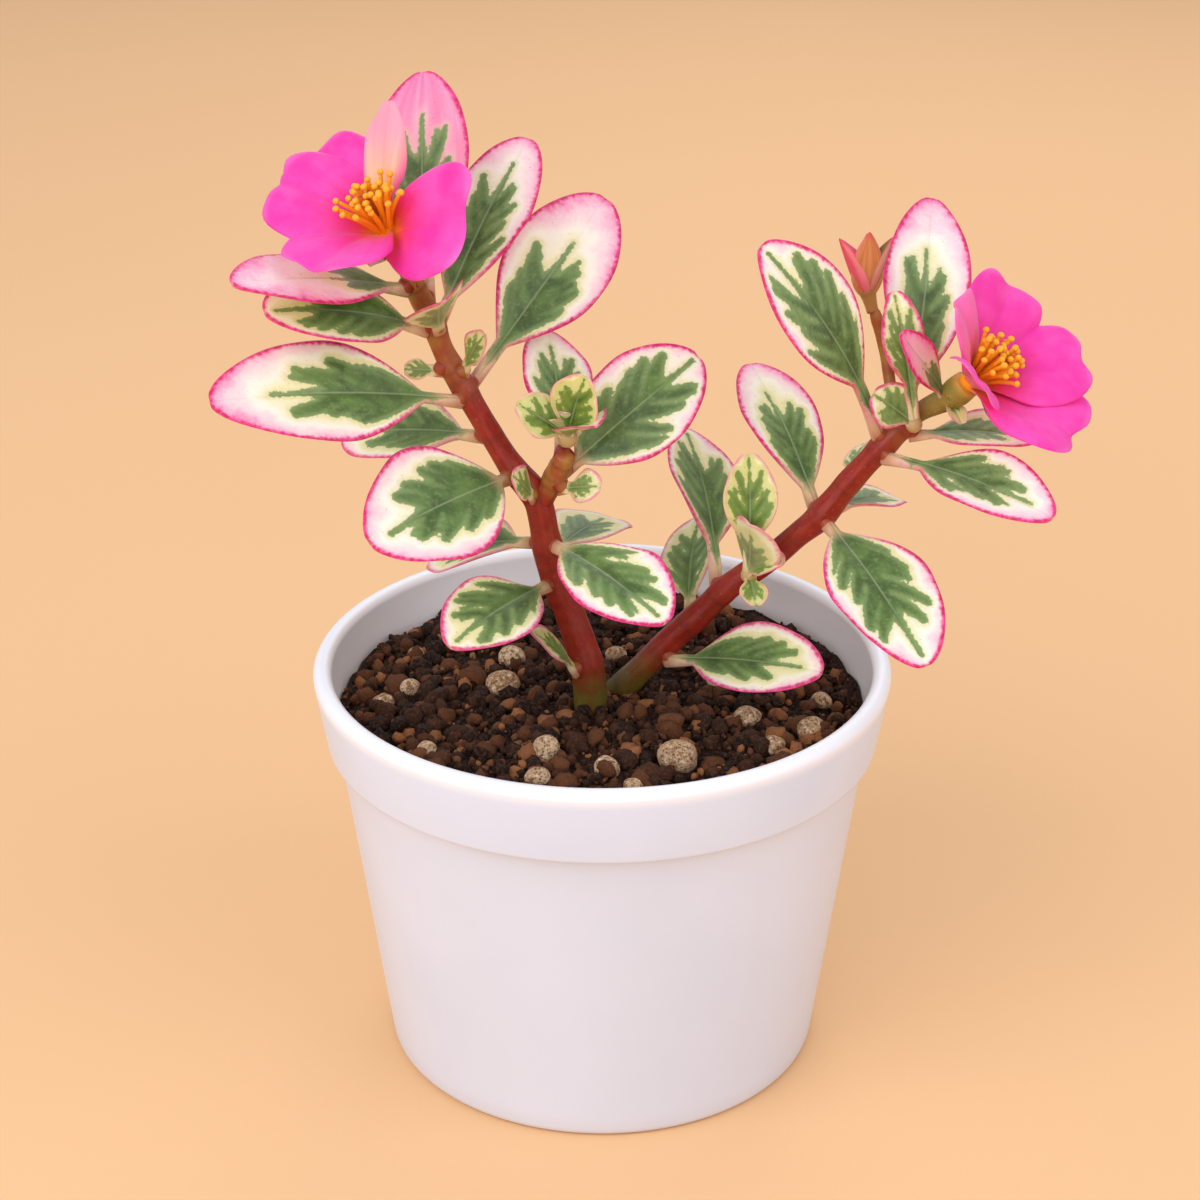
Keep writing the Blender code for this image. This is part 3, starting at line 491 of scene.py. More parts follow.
def patch_depth(x, y, spots, edge, border):
    """How far inside the green patch each point lies, in millimetres, and below 0 outside it. The
    patch keeps its distance from the leaf's own edge."""
    depth = (spots[:, 2] - np.hypot(x[..., None] - spots[:, 0], y[..., None] - spots[:, 1])).max(-1)
    return np.minimum(depth, edge - border)


def leaf_body(form, place, rotation, length, width, bow, cup, look, seed, root=0.0):
    """A fleshy leaf, added to a form. root is how far it goes on behind its foot into the stem."""
    reach, pink, stalk, young = look
    draw = np.random.default_rng(seed)
    rows, columns = next(mesh for least, *mesh in LEAF_MESHES if length > least)
    u = 1 - (1 - np.linspace(0, 0.99, rows)) ** LEAF_TIP_CROWDING
    u = np.concatenate([np.linspace(-root / length, 0, 4)[:-1], u]) if root else u
    v, face = blade_section(columns, LEAF_CROWDING)
    half = leaf_half_width(np.clip(u, 0, 1), width, stalk)
    ripple = 1 + 0.012 * np.sin(9 * u + draw.uniform(0, 6)) + 0.008 * np.sin(23 * u + draw.uniform(0, 6))
    y = (half * ripple)[:, None] * v[None, :]
    notch = LEAF_NOTCH * np.exp(-((y / 0.7) ** 2)) * smoothstep(0.93, 1.0, u)[:, None]
    x = np.repeat((length * u)[:, None], 2 * columns, 1) - notch
    wave = np.zeros_like(y)
    for side in (-1, 1):
        swing = np.sin(2 * math.pi * (draw.uniform(1.1, 1.9) * u + draw.random()))
        wave += np.where(v * side > 0, np.abs(v) ** 2.5, 0) * swing[:, None]
    window = np.sin(math.pi * np.clip(u, 0, 1)) ** 0.7
    size = min(1.0, length / FULL_LEAF)
    z = 4 * bow * u[:, None] * (1 - u[:, None]) + cup * half[:, None] * v ** 2
    z = z + LEAF_WAVE * size * wave * window[:, None]
    thick = size * (LEAF_TIP_THICKNESS + LEAF_FOOT_THICKENING * np.clip(1 - u, 0, 1))
    thick = thick + STALK_THICKENING * np.exp(-((np.clip(u, 0, 1) / 0.10) ** 2))
    thick = np.minimum(thick, MOST_THICKNESS)[:, None] * np.sqrt(np.clip(1 - np.abs(v) ** 2.4, 0, 1))
    vein = np.exp(-((y / VEIN_REACH) ** 2))
    vein = vein * (smoothstep(0.0, 0.12, u) * smoothstep(1.0, 0.75, u))[:, None]
    lift = face * thick - size * np.where(face > 0, VEIN_FURROW, VEIN_KEEL) * vein
    slope = 4 * bow * (1 - 2 * u[:, None]) + 0 * y
    lean = 2 * cup * v[None, :] + 0 * y
    normal = np.stack([-slope, -length * lean, length + 0 * y], -1)
    normal /= np.linalg.norm(normal, axis=-1, keepdims=True)
    rings = np.stack([x, y, z], -1) + lift[..., None] * normal
    outline_u = 1 - (1 - np.linspace(0, 1, 90)) ** LEAF_TIP_CROWDING
    outline_y = leaf_half_width(outline_u, width, stalk)
    outline = np.stack([length * outline_u, outline_y], -1)
    outline = np.vstack([outline, (outline * (1, -1))[::-1]])
    spots = fingers(length, width, stalk, reach, draw)
    edge = edge_distance(x, y, outline)
    border = PATCH_BORDER * width * smoothstep(stalk - 0.05, stalk + 0.25, u)[:, None]
    values = {
        "patch": patch_depth(x, y, spots, edge, border),
        "edge": edge,
        "along": u[:, None] + 0 * y,
        "across": v[None, :] + 0 * y,
        "midrib": np.abs(y),
        "under": (face[None, :] < 0) + 0 * y,
        "pink": pink,
        "young": young,
        "draw": draw.random(),
    }
    form.loft(rings @ rotation.T + place, values)


def make_leaves(material):
    """Every single leaf, and the knob under each, by stem, as centre and direction."""
    routes = {"left": LEFT_STEM, "side": SIDE_STEM, "right": RIGHT_STEM}
    knobs = {"left": [], "side": [], "right": []}
    for number, row in enumerate(LEAVES):
        name, stem, share, heading, pitch, roll, length, width, bow, cup, *look = row
        rotation = turn(heading, pitch, roll)
        out = rotation @ (1.0, 0.0, 0.0)
        start = rotation @ unit(np.array([length, 0.0, 4 * bow]))
        middle, along, radius = place_on(routes[stem], share)
        away = unit(out - along * (out @ along))
        knob = middle + away * (radius + KNOB_OUT)
        knobs[stem].append((share, knob, away))
        form = Form()
        foot = knob + start * (KNOB_RADIUS + GAP - LEAF_SINK)
        full = length + LEAF_SINK
        leaf_body(form, foot, rotation, full, width, bow, cup, look, LEAF_SEED + number, LEAF_ROOT)
        form.make(name, material, "leaf", name)
    return knobs


def make_tufts(material):
    """The tufts of young leaves, each on its heart."""
    for order, (name, (heart, leaves)) in enumerate(TUFTS.items()):
        *centre, radius = heart
        form = Form()
        for number, (heading, pitch, roll, length, width, bow, cup, *look) in enumerate(leaves):
            rotation = turn(heading, pitch, roll)
            seed = TUFT_SEED + 20 * order + number
            leaf_body(form, np.array(centre), rotation, length, width, bow, cup, look, seed)
        points, faces = ball_points(3)
        values = {"patch": -0.5, "edge": 5.0, "along": 0.0, "midrib": 5.0, "young": 1.0}
        form.add(np.array(centre) + points * radius * 0.8, faces, values)
        form.make(name, material, "young_leaf", name)


# Materials

class Paint:
    """A node material, built up from small expressions."""

    def __init__(self, name, **sockets):
        self.material = bpy.data.materials.new(name)
        self.material.use_nodes = True
        self.tree = self.material.node_tree
        self.shader = self.tree.nodes["Principled BSDF"]
        for key, value in sockets.items():
            self.shader.inputs[key.replace("_", " ")].default_value = value

    def node(self, kind, inputs, output=0, **settings):
        """A node with its settings and inputs set, and one of its outputs. A code is a colour."""
        made = self.tree.nodes.new(kind)
        for key, value in settings.items():
            setattr(made, key, value)
        for key, value in inputs.items():
            if isinstance(value, bpy.types.NodeSocket):
                self.tree.links.new(value, made.inputs[key])
            else:
                made.inputs[key].default_value = srgb(value) if isinstance(value, str) else value
        return made.outputs[output]

    def at(self, name):
        """A value that the mesh carries."""
        return self.node("ShaderNodeAttribute", {}, "Fac", attribute_name=name)

    def place(self):
        """Where the surface is, in metres."""
        return self.node("ShaderNodeTexCoord", {}, "Object")

    def math(self, operation, first, second=0.0, third=0.0):
        return self.node("ShaderNodeMath", {0: first, 1: second, 2: third}, operation=operation)

    def times(self, first, second):
        return self.math("MULTIPLY", first, second)

    def plus(self, first, second):
        return self.math("ADD", first, second)

    def scaled(self, value, scale, shift):
        return self.math("MULTIPLY_ADD", value, scale, shift)

    def step(self, value, low, high, start=0.0, end=1.0):
        """A smooth step from start to end while the value goes from low to high."""
        inputs = {"Value": value, "From Min": low, "From Max": high, "To Min": start, "To Max": end}
        return self.node("ShaderNodeMapRange", inputs, interpolation_type="SMOOTHSTEP")

    def mix(self, factor, first, second):
        """The first colour turned into the second as the factor goes from 0 to 1."""
        return self.node("ShaderNodeMix", {0: factor, 6: first, 7: second}, 2, data_type="RGBA")

    def over(self, colour, cover, value, low, high, most=1.0):
        """A colour under a cover that comes up to its most as the value goes from low to high."""
        return self.mix(self.step(value, low, high, 0.0, most), colour, cover)

    def blend(self, value, low, high, first, second):
        """The first colour turned into the second as the value goes from low to high."""
        return self.over(first, second, value, low, high)

    def noise(self, per_mm, detail=2.0, vector=None, roughness=0.5):
        """Noise with so many waves a millimetre, from 0 to 1."""
        inputs = {"Vector": vector or self.place(), "Scale": per_mm / MM if vector is None else per_mm}
        return self.node("ShaderNodeTexNoise", {**inputs, "Detail": detail, "Roughness": roughness}, "Fac")

    def cells(self, per_mm):
        return self.node("ShaderNodeTexVoronoi", {"Vector": self.place(), "Scale": per_mm / MM}, "Distance")

    def vector(self, x, y, z):
        return self.node("ShaderNodeCombineXYZ", {0: x, 1: y, 2: z})

    def finish(self, colour, roughness=None, height=None, depth=0.1, strength=1.0):
        """Links the colour, roughness and relief, whose depth is in millimetres."""
        links = self.tree.links
        links.new(colour, self.shader.inputs["Base Color"])
        if roughness is not None:
            links.new(roughness, self.shader.inputs["Roughness"])
        if height is not None:
            inputs = {"Height": height, "Distance": depth * MM, "Strength": strength}
            links.new(self.node("ShaderNodeBump", inputs), self.shader.inputs["Normal"])
        return self.material


def leaf_paint():
    """Green lobes on cream, washed with pink towards the tip and edged with hot pink."""
    paint = Paint("leaf", IOR=1.42, Subsurface_Weight=0.10, Subsurface_Scale=0.001)
    pink = paint.at("pink")
    young = paint.at("young")
    edge = paint.at("edge")
    along = paint.at("along")
    broad = paint.noise(0.35, 3.0)
    fine = paint.noise(1.6, 3.0)
    tiny = paint.noise(6.0, 2.0)
    lengthwise = paint.vector(
        paint.times(paint.at("across"), 3.5), paint.times(along, 1.6), paint.at("draw"),
    )
    streak = paint.noise(1.5, 3.0, lengthwise)

    out = paint.math("MAXIMUM", paint.times(paint.at("patch"), -1.0), 0.05)
    share = paint.math("DIVIDE", edge, paint.plus(edge, out))
    wander = paint.scaled(broad, 0.55, paint.scaled(fine, 0.24, -0.395))
    share = paint.plus(share, wander)
    tipward = paint.step(along, 0.10, 0.75, 0.35, 1.0)
    flush = paint.times(pink, tipward)
    share = paint.math("DIVIDE", share, paint.scaled(flush, 0.58, 0.30))

    cream = paint.mix(young, "f6eab2", "dcd987")
    white = paint.mix(young, "fff4e0", "efecb0")
    pale_pink = paint.mix(young, "fdd3d6", "f3dfae")
    band = paint.mix(paint.step(share, 1.35, 0.78), cream, white)
    band = paint.mix(paint.step(share, 0.90, 0.40, 0.0, 0.9), band, pale_pink)
    band = paint.mix(paint.times(paint.step(share, 0.46, 0.08), tipward), band, "faa2be")
    hot = paint.times(paint.step(share, 0.20, -0.12), paint.step(pink, 0.2, 0.9, 0.25, 1.0))
    band = paint.mix(paint.times(hot, tipward), band, "e8458c")
    blush = paint.times(paint.step(pink, 1.0, 1.6), paint.step(along, 0.10, 0.7, 0.2, 0.9))
    rosy = paint.blend(streak, 0.3, 0.8, "f5709f", "fb9dbd")
    band = paint.mix(paint.times(blush, paint.step(share, 1.6, 0.5, 0.35, 1.0)), band, rosy)
    uneven = paint.plus(edge, paint.scaled(fine, 0.7, -0.35))
    line = paint.times(paint.step(uneven, 0.70, 0.15), paint.step(along, 0.02, 0.35, 0.35, 1.0))
    line = paint.times(line, paint.step(pink, 0.0, 0.8, 0.35, 1.0))
    rim = paint.blend(fine, 0.4, 0.6, "d0205f", "ec3f86")
    rim = paint.over(rim, "dc8468", pink, 0.55, 0.2)
    band = paint.mix(line, band, rim)

    green = paint.mix(young, "64813f", "577321")
    dark = paint.mix(young, "48602e", "3c5710")
    pale = paint.mix(young, "859c5e", "7f9640")
    green = paint.mix(paint.step(broad, 0.35, 0.65), green, dark)
    green = paint.mix(paint.step(fine, 0.5, 0.75, 0.0, 0.5), green, pale)
    green = paint.mix(paint.step(streak, 0.45, 0.75, 0.0, 0.45), green, dark)
    torn = paint.scaled(fine, 0.7, -0.35)
    torn = paint.plus(paint.at("patch"), torn)
    torn = paint.plus(torn, paint.scaled(tiny, 0.24, -0.12))
    fringe = paint.mix(paint.step(torn, 0.0, 0.9), pale, green)
    shade = paint.mix(0.5, band, "bcc27c")
    colour = paint.mix(paint.step(torn, -0.8, -0.05, 0.0, 0.55), band, shade)
    colour = paint.mix(paint.step(torn, -0.09, 0.09), colour, fringe)

    midrib = paint.at("midrib")
    rib = paint.times(paint.step(midrib, 0.22, 0.05), paint.step(along, 0.85, 0.5))
    colour = paint.mix(paint.times(rib, 0.4), colour, "aebb8c")
    stalk = paint.step(along, 0.16, 0.02)
    stalk_colour = paint.mix(pink, "c9bd7c", "deb488")
    stalk_colour = paint.over(stalk_colour, "b4654a", along, 0.07, -0.06)
    colour = paint.mix(paint.times(stalk, 0.9), colour, stalk_colour)
    under = paint.times(paint.at("under"), 0.22)
    colour = paint.mix(under, colour, "e0d0a8")
    speck = paint.step(paint.noise(3.2, 0.0), 0.80, 0.84, 0.0, 0.35)
    colour = paint.mix(speck, colour, "7a4a3a")

    height = paint.scaled(fine, 0.6, paint.times(tiny, 0.25))
    height = paint.math("SUBTRACT", height, paint.times(paint.step(midrib, 0.3, 0.0), 1.2))
    roughness = paint.step(fine, 0.2, 0.8, 0.38, 0.52)
    return paint.finish(colour, roughness, height, depth=0.10, strength=0.6)


def stem_paint():
    """Fleshy red stems, orange-brown where they are young and yellow-green at the soil."""
    paint = Paint("stem", IOR=1.42, Subsurface_Weight=0.08, Subsurface_Scale=0.001)
    along = paint.at("along")
    streak = paint.noise(1.0, 3.0, paint.vector(
        paint.times(paint.at("around"), 4.0), paint.times(along, 26.0), paint.at("draw"),
    ))
    blot = paint.noise(0.4, 3.0)
    fine = paint.noise(3.0, 3.0)
    colour = paint.blend(streak, 0.25, 0.75, "841a0c", "a12813")
    colour = paint.over(colour, "93401f", blot, 0.45, 0.75, 0.5)
    young = paint.blend(blot, 0.35, 0.65, "a5522a", "a8742f")
    colour = paint.mix(paint.at("warm"), colour, young)
    low = paint.blend(blot, 0.3, 0.7, "634012", "62561c")
    colour = paint.mix(paint.step(paint.at("green"), 0.0, 1.0), colour, low)
    colour = paint.mix(paint.times(paint.at("scar"), 0.45), colour, "5f2017")
    colour = paint.over(colour, "cf8a74", fine, 0.62, 0.75, 0.25)
    height = paint.plus(paint.times(streak, 0.5), paint.times(fine, 0.35))
    return paint.finish(colour, paint.step(streak, 0.2, 0.8, 0.34, 0.5), height, depth=0.12, strength=0.6)


def petal_paint():
    """Silky hot pink petals, red and then orange towards the throat."""
    sheen = {"Sheen_Weight": 0.15, "Sheen_Roughness": 0.4}
    paint = Paint("petal", IOR=1.4, Subsurface_Weight=0.12, Subsurface_Scale=0.0008, **sheen)
    along = paint.at("along")
    across = paint.at("across")
    pale = paint.at("pale")
    lines = paint.vector(paint.times(across, 9.0), paint.times(along, 1.3), paint.at("draw"))
    streak = paint.noise(1.0, 4.0, lines)
    threads = paint.noise(3.2, 2.0, lines)
    blot = paint.noise(0.25, 2.0)
    shift = paint.plus(along, paint.scaled(streak, 0.26, -0.13))
    colour = paint.blend(blot, 0.3, 0.7, "ef2c9f", "fa4ab0")
    colour = paint.over(colour, "f02d6e", shift, 0.66, 0.22, 0.8)
    colour = paint.over(colour, "f2502c", shift, 0.36, 0.12)
    colour = paint.over(colour, "f98f1c", shift, 0.24, 0.06)
    colour = paint.over(colour, "dd2388", threads, 0.5, 0.8, 0.25)
    rim = paint.step(along, 0.91, 1.0, 0.0, 0.5)
    colour = paint.mix(rim, colour, "fd7cc4")
    faint = paint.blend(shift, 0.30, 0.85, "fbbf8c", "fb9db0")
    faint = paint.over(faint, "f15c9c", paint.math("ABSOLUTE", across), 0.55, 1.0)
    faint = paint.over(faint, "f9a32a", shift, 0.24, 0.06)
    colour = paint.mix(pale, colour, faint)
    colour = paint.mix(paint.times(paint.at("under"), 0.30), colour, "f58ab0")
    height = paint.plus(paint.times(streak, 0.7), paint.times(threads, 0.3))
    return paint.finish(colour, paint.step(streak, 0.2, 0.8, 0.45, 0.6), height, depth=0.12, strength=0.7)


def stamen_paint():
    """Golden filaments and powdery anthers round an orange-red stigma."""
    paint = Paint("stamen", IOR=1.4, Subsurface_Weight=0.15, Subsurface_Scale=0.0004)
    colour = paint.blend(paint.at("along"), 0.0, 0.8, "fd9a10", "ffb01c")
    colour = paint.mix(paint.at("anther"), colour, "ffb92c")
    grain = paint.noise(7.0, 3.0)
    colour = paint.over(colour, "f08a0c", grain, 0.35, 0.7, 0.3)
    colour = paint.mix(paint.at("stigma"), colour, "c8440c")
    return paint.finish(colour, paint.step(grain, 0.2, 0.8, 0.45, 0.7), grain, depth=0.10, strength=0.8)


def calyx_paint():
    """Fleshy yellow-green, with a red flush."""
    paint = Paint("calyx", IOR=1.42, Subsurface_Weight=0.15, Subsurface_Scale=0.001)
    blot = paint.noise(0.7, 3.0)
    fine = paint.noise(3.0, 3.0)
    colour = paint.blend(blot, 0.3, 0.7, "9c8236", "858234")
    colour = paint.mix(paint.at("flush"), colour, "95502c")
    colour = paint.over(colour, "d9cf86", fine, 0.55, 0.8, 0.4)
    colour = paint.over(colour, "cf9438", paint.at("along"), 0.84, 1.0, 0.8)
    return paint.finish(colour, paint.step(fine, 0.2, 0.8, 0.38, 0.52), fine, depth=0.10, strength=0.6)


def bud_paint():
    """Bud scales from pink-red with a pale edge to orange and olive brown."""
    paint = Paint("bud", IOR=1.42, Subsurface_Weight=0.15, Subsurface_Scale=0.001)
    red = paint.at("red")
    along = paint.at("along")
    fine = paint.noise(2.5, 3.0)
    lines = paint.noise(1.0, 3.0, paint.vector(
        paint.times(paint.at("across"), 5.0), paint.times(along, 1.5), red,
    ))
    olive = paint.blend(lines, 0.3, 0.7, "6d5a26", "96602f")
    orange = paint.blend(lines, 0.3, 0.7, "c46c36", "d88a52")
    rose = paint.blend(lines, 0.3, 0.7, "e0335a", "f0566e")
    colour = paint.mix(paint.step(red, 0.0, 0.45), olive, orange)
    colour = paint.mix(paint.step(red, 0.5, 1.0), colour, rose)
    side = paint.math("ABSOLUTE", paint.at("across"))
    colour = paint.over(colour, "f08c84", side, 0.70, 1.0, 0.55)
    colour = paint.over(colour, "d6324e", along, 0.82, 1.0, 0.7)
    colour = paint.over(colour, "c98d4e", along, 0.16, 0.0, 0.8)
    return paint.finish(colour, paint.step(fine, 0.2, 0.8, 0.36, 0.5), lines, depth=0.12, strength=0.7)


def pot_paint():
    """Satin white with the faint unevenness of a moulded pot, painted lighter on its lip and inside as
    painted light.
    """
    paint = Paint("pot", IOR=1.48, Coat_Weight=0.12, Coat_Roughness=0.25)
    broad = paint.noise(0.04, 2.0)
    fine = paint.noise(2.5, 3.0)
    height = paint.node("ShaderNodeSeparateXYZ", {"Vector": paint.place()}, "Z")
    # Painted light: the body's bluish tint offsets the warm light that the floor throws back on it.
    colour = paint.blend(broad, 0.3, 0.7, "dde3f2", "d8dfee")
    # Painted light: the lip's top, above 56 mm, is a lighter white than the body.
    colour = paint.over(colour, "f6f5f8", height, 0.0560, 0.0580)
    colour = paint.over(colour, "cfc8c0", height, 0.004, 0.0, 0.35)
    normal = paint.node("ShaderNodeNewGeometry", {}, "Normal")
    flat = {0: paint.place(), 1: (1.0, 1.0, 0.0)}
    away = paint.node("ShaderNodeVectorMath", flat, operation="MULTIPLY")
    outward = paint.node("ShaderNodeVectorMath", {0: away, 1: normal}, "Value", operation="DOT_PRODUCT")
    # Painted light: faces turned in towards the axis, the inside wall, are a lighter warm white.
    colour = paint.over(colour, "faf1ec", outward, -0.012, -0.024)
    height = paint.plus(fine, paint.times(broad, 6.0))
    return paint.finish(colour, paint.step(fine, 0.2, 0.8, 0.30, 0.38), height, depth=0.02, strength=0.5)


def soil_paint():
    """Dark peat and bark crumbs, some of them reddish or tan."""
    paint = Paint("soil", IOR=1.4, Specular_IOR_Level=0.35)
    tone = paint.at("tone")
    fine = paint.noise(2.2, 4.0, roughness=0.65)
    tiny = paint.noise(9.0, 3.0)
    colour = paint.blend(tone, 0.0, 0.45, "180b05", "3c2112")
    colour = paint.over(colour, "643a20", tone, 0.45, 0.75)
    colour = paint.over(colour, "a4693f", tone, 0.78, 0.98)
    colour = paint.over(colour, "7a4a2a", fine, 0.45, 0.75, 0.55)
    colour = paint.over(colour, "0c0705", fine, 0.42, 0.25, 0.8)
    colour = paint.over(colour, "cf9f72", tiny, 0.66, 0.76, 0.6)
    height = paint.plus(paint.times(fine, 1.0), paint.times(tiny, 0.4))
    return paint.finish(colour, paint.step(tiny, 0.3, 0.8, 0.95, 0.6), height, depth=0.35, strength=0.9)


def pebble_paint():
    """Tan baked granules, pitted, with pale flecks that are partly their own whitish speckle and partly
    painted highlight.
    """
    paint = Paint("pebble", IOR=1.45, Specular_IOR_Level=0.3)
    tone = paint.at("tone")
    fine = paint.noise(1.8, 4.0, roughness=0.6)
    pits = paint.cells(2.2)
    colour = paint.mix(tone, "b48a62", "d2b08a")
    colour = paint.over(colour, "7c5639", fine, 0.50, 0.62, 0.85)
    # Pale flecks: partly the granules' own whitish speckle, partly painted highlight.
    colour = paint.over(colour, "f4e6cc", fine, 0.44, 0.34, 0.7)
    colour = paint.over(colour, "4a2e1c", pits, 0.26, 0.06, 0.9)
    height = paint.plus(fine, paint.step(pits, 0.0, 0.35))
    return paint.finish(colour, paint.step(fine, 0.2, 0.8, 0.7, 0.95), height, depth=0.45, strength=0.8)


# Stems

def stem_body(form, points, knobs, draw, warm_from):
    """A fleshy stem with swollen, scarred nodes, added to a form."""
    route = smooth_route(points, 12)
    centres, radii = route[:, :3], route[:, 3].copy()
    steps = np.linalg.norm(np.diff(centres, axis=0), axis=1)
    shares = np.concatenate([[0.0], np.cumsum(steps)]) / steps.sum()
    length = steps.sum()
    scar = np.zeros(len(route))
    for share, _, _ in knobs:
        gap = (shares - share) * length
        radii += NODE_SWELLING * np.exp(-((gap / NODE_REACH) ** 2))
        scar = np.maximum(scar, np.exp(-(((gap + SCAR_DROP) / SCAR_WIDTH) ** 2)))
    radii *= 1 + 0.02 * np.sin(shares * 31 + draw) + 0.012 * np.sin(shares * 83 + 2 * draw)
    radii[-len(STEM_END):] *= STEM_END
    rings = tube_rings(centres, radii, STEM_SIDES)
    angle = np.arange(STEM_SIDES) * 2 * math.pi / STEM_SIDES
    ridge = 0.035 * np.sin(5 * angle + draw)[None, :] + 0.02 * np.sin(9 * angle + 7 * shares[:, None])
    rings = centres[:, None, :] + (rings - centres[:, None, :]) * (1 + ridge[..., None])
    height = centres[:, 2]
    form.loft(rings, {
        "along": (shares * length / 60)[:, None],
        "around": np.sin(angle)[None, :],
        "warm": np.clip((shares - warm_from) / 0.2, 0, 1)[:, None],
        "green": smoothstep(GREEN_BELOW, GREEN_FULLY, height)[:, None],
        "scar": scar[:, None],
        "draw": draw,
    })


def knob_body(form, knob, away, radius, draw):
    """The swollen foot of a leaf on its stem, added to a form."""
    reach = np.linspace(0, 1, 9)
    start = knob - away * (KNOB_OUT + 0.9 * radius)
    end = knob + away * 0.55 * KNOB_RADIUS
    centres = start + (end - start) * reach[:, None]
    radii = KNOB_RADIUS * (1.35 - 0.60 * reach) * np.sqrt(np.clip(1 - reach ** 5, 0, 1))
    rings = tube_rings(centres, np.maximum(radii, 0.05), 16)
    warm = smoothstep(0.35, 0.9, reach)[:, None] * 0.8
    form.loft(rings, {"along": draw, "around": 0.3, "warm": warm, "draw": draw})


def make_stems(material, knobs):
    """Both stems with their branches and the feet of their leaves."""
    plans = {
        "stem_left": [(LEFT_STEM, "left", 0.72), (SIDE_STEM, "side", 0.2)],
        "stem_right": [(RIGHT_STEM, "right", 0.90), (BUD_STALK, None, -0.5)],
    }
    for name, branches in plans.items():
        form = Form()
        for order, (points, key, warm_from) in enumerate(branches):
            own = knobs.get(key, [])
            stem_body(form, points, own, 1.7 * order + len(name), warm_from)
            for share, knob, away in own:
                knob_body(form, knob, away, place_on(points, share)[2], share)
        form.make(name, material, "stem", name)


# Flowers

def rounded_petal(v, wide):
    """The widest ray's angle of a petal with an elliptic end, and how far each ray goes."""
    long = 1 - PETAL_MIDDLE
    beyond = PETAL_MIDDLE ** 2 - long ** 2
    widest = math.atan(wide / math.sqrt(beyond))
    cosine = np.cos(widest * v)
    sine = np.sin(widest * v)
    square = (cosine / long) ** 2 + (sine / wide) ** 2
    linear = PETAL_MIDDLE * cosine / long ** 2
    return widest, (linear + np.sqrt(np.maximum(linear ** 2 - square * beyond / long ** 2, 0))) / square


def petal_body(form, place, rotation, length, width, pale, seed):
    """A thin petal with a notched, ruffled edge, added to a form."""
    draw = np.random.default_rng(seed)
    u = np.linspace(0, 1, PETAL_ROWS) ** 0.85
    v, face = blade_section(PETAL_COLUMNS, PETAL_CROWDING)
    phase = draw.uniform(0, 6, 4)
    if pale >= 1:
        spread = math.asin(0.5 * width / (0.8 * length)) / 0.85
        reach = 1 - PETAL_POINT * np.abs(v) ** 1.7
    else:
        spread, reach = rounded_petal(v, 0.5 * width / length)
        reach = reach * (1 - PETAL_NOTCH * np.exp(-((v / 0.2) ** 2)))
        reach = reach * (1 + PETAL_LOBE * np.exp(-(((np.abs(v) - 0.45) / 0.22) ** 2)))
    spread = spread * (1 + 0.05 * np.sin(math.pi * u))[:, None]
    reach = reach * (1 + 0.012 * np.sin(7 * v + phase[0]) + 0.008 * np.sin(17 * v + phase[1]))
    ray = PETAL_ROOT + (length * reach[None, :] - PETAL_ROOT) * u[:, None]
    z = 4 * PETAL_BOW * u[:, None] * (1 - u[:, None])
    z = z + PETAL_CUP * 0.5 * width * u[:, None] * v[None, :] ** 2
    ruffle = PETAL_RUFFLE * np.sin(5.5 * v + phase[2]) + PETAL_CRIMP * np.sin(11 * v + phase[3])
    z = z + ruffle[None, :] * (u[:, None] ** 2.2)
    z = z - PETAL_FURROW * np.exp(-((v / 0.13) ** 2))[None, :] * smoothstep(0.1, 0.6, u)[:, None]
    x = ray * np.cos(spread * v)
    y = ray * np.sin(spread * v)
    fade = np.sqrt(np.clip(1 - np.abs(v) ** 6, 0, 1))[None, :]
    thick = (PETAL_THICKNESS - PETAL_THINNING * u[:, None]) * fade * smoothstep(1.0, 0.97, u)[:, None]
    z = z + face[None, :] * np.maximum(thick, 0.02)
    rings = np.stack([x, y, z], -1)
    form.loft(rings @ rotation.T + place, {
        "along": u[:, None] * reach[None, :],
        "across": v[None, :] + 0 * u[:, None],
        "under": (face[None, :] < 0) + 0 * u[:, None],
        "pale": pale,
        "draw": 3.0 * seed,
    })


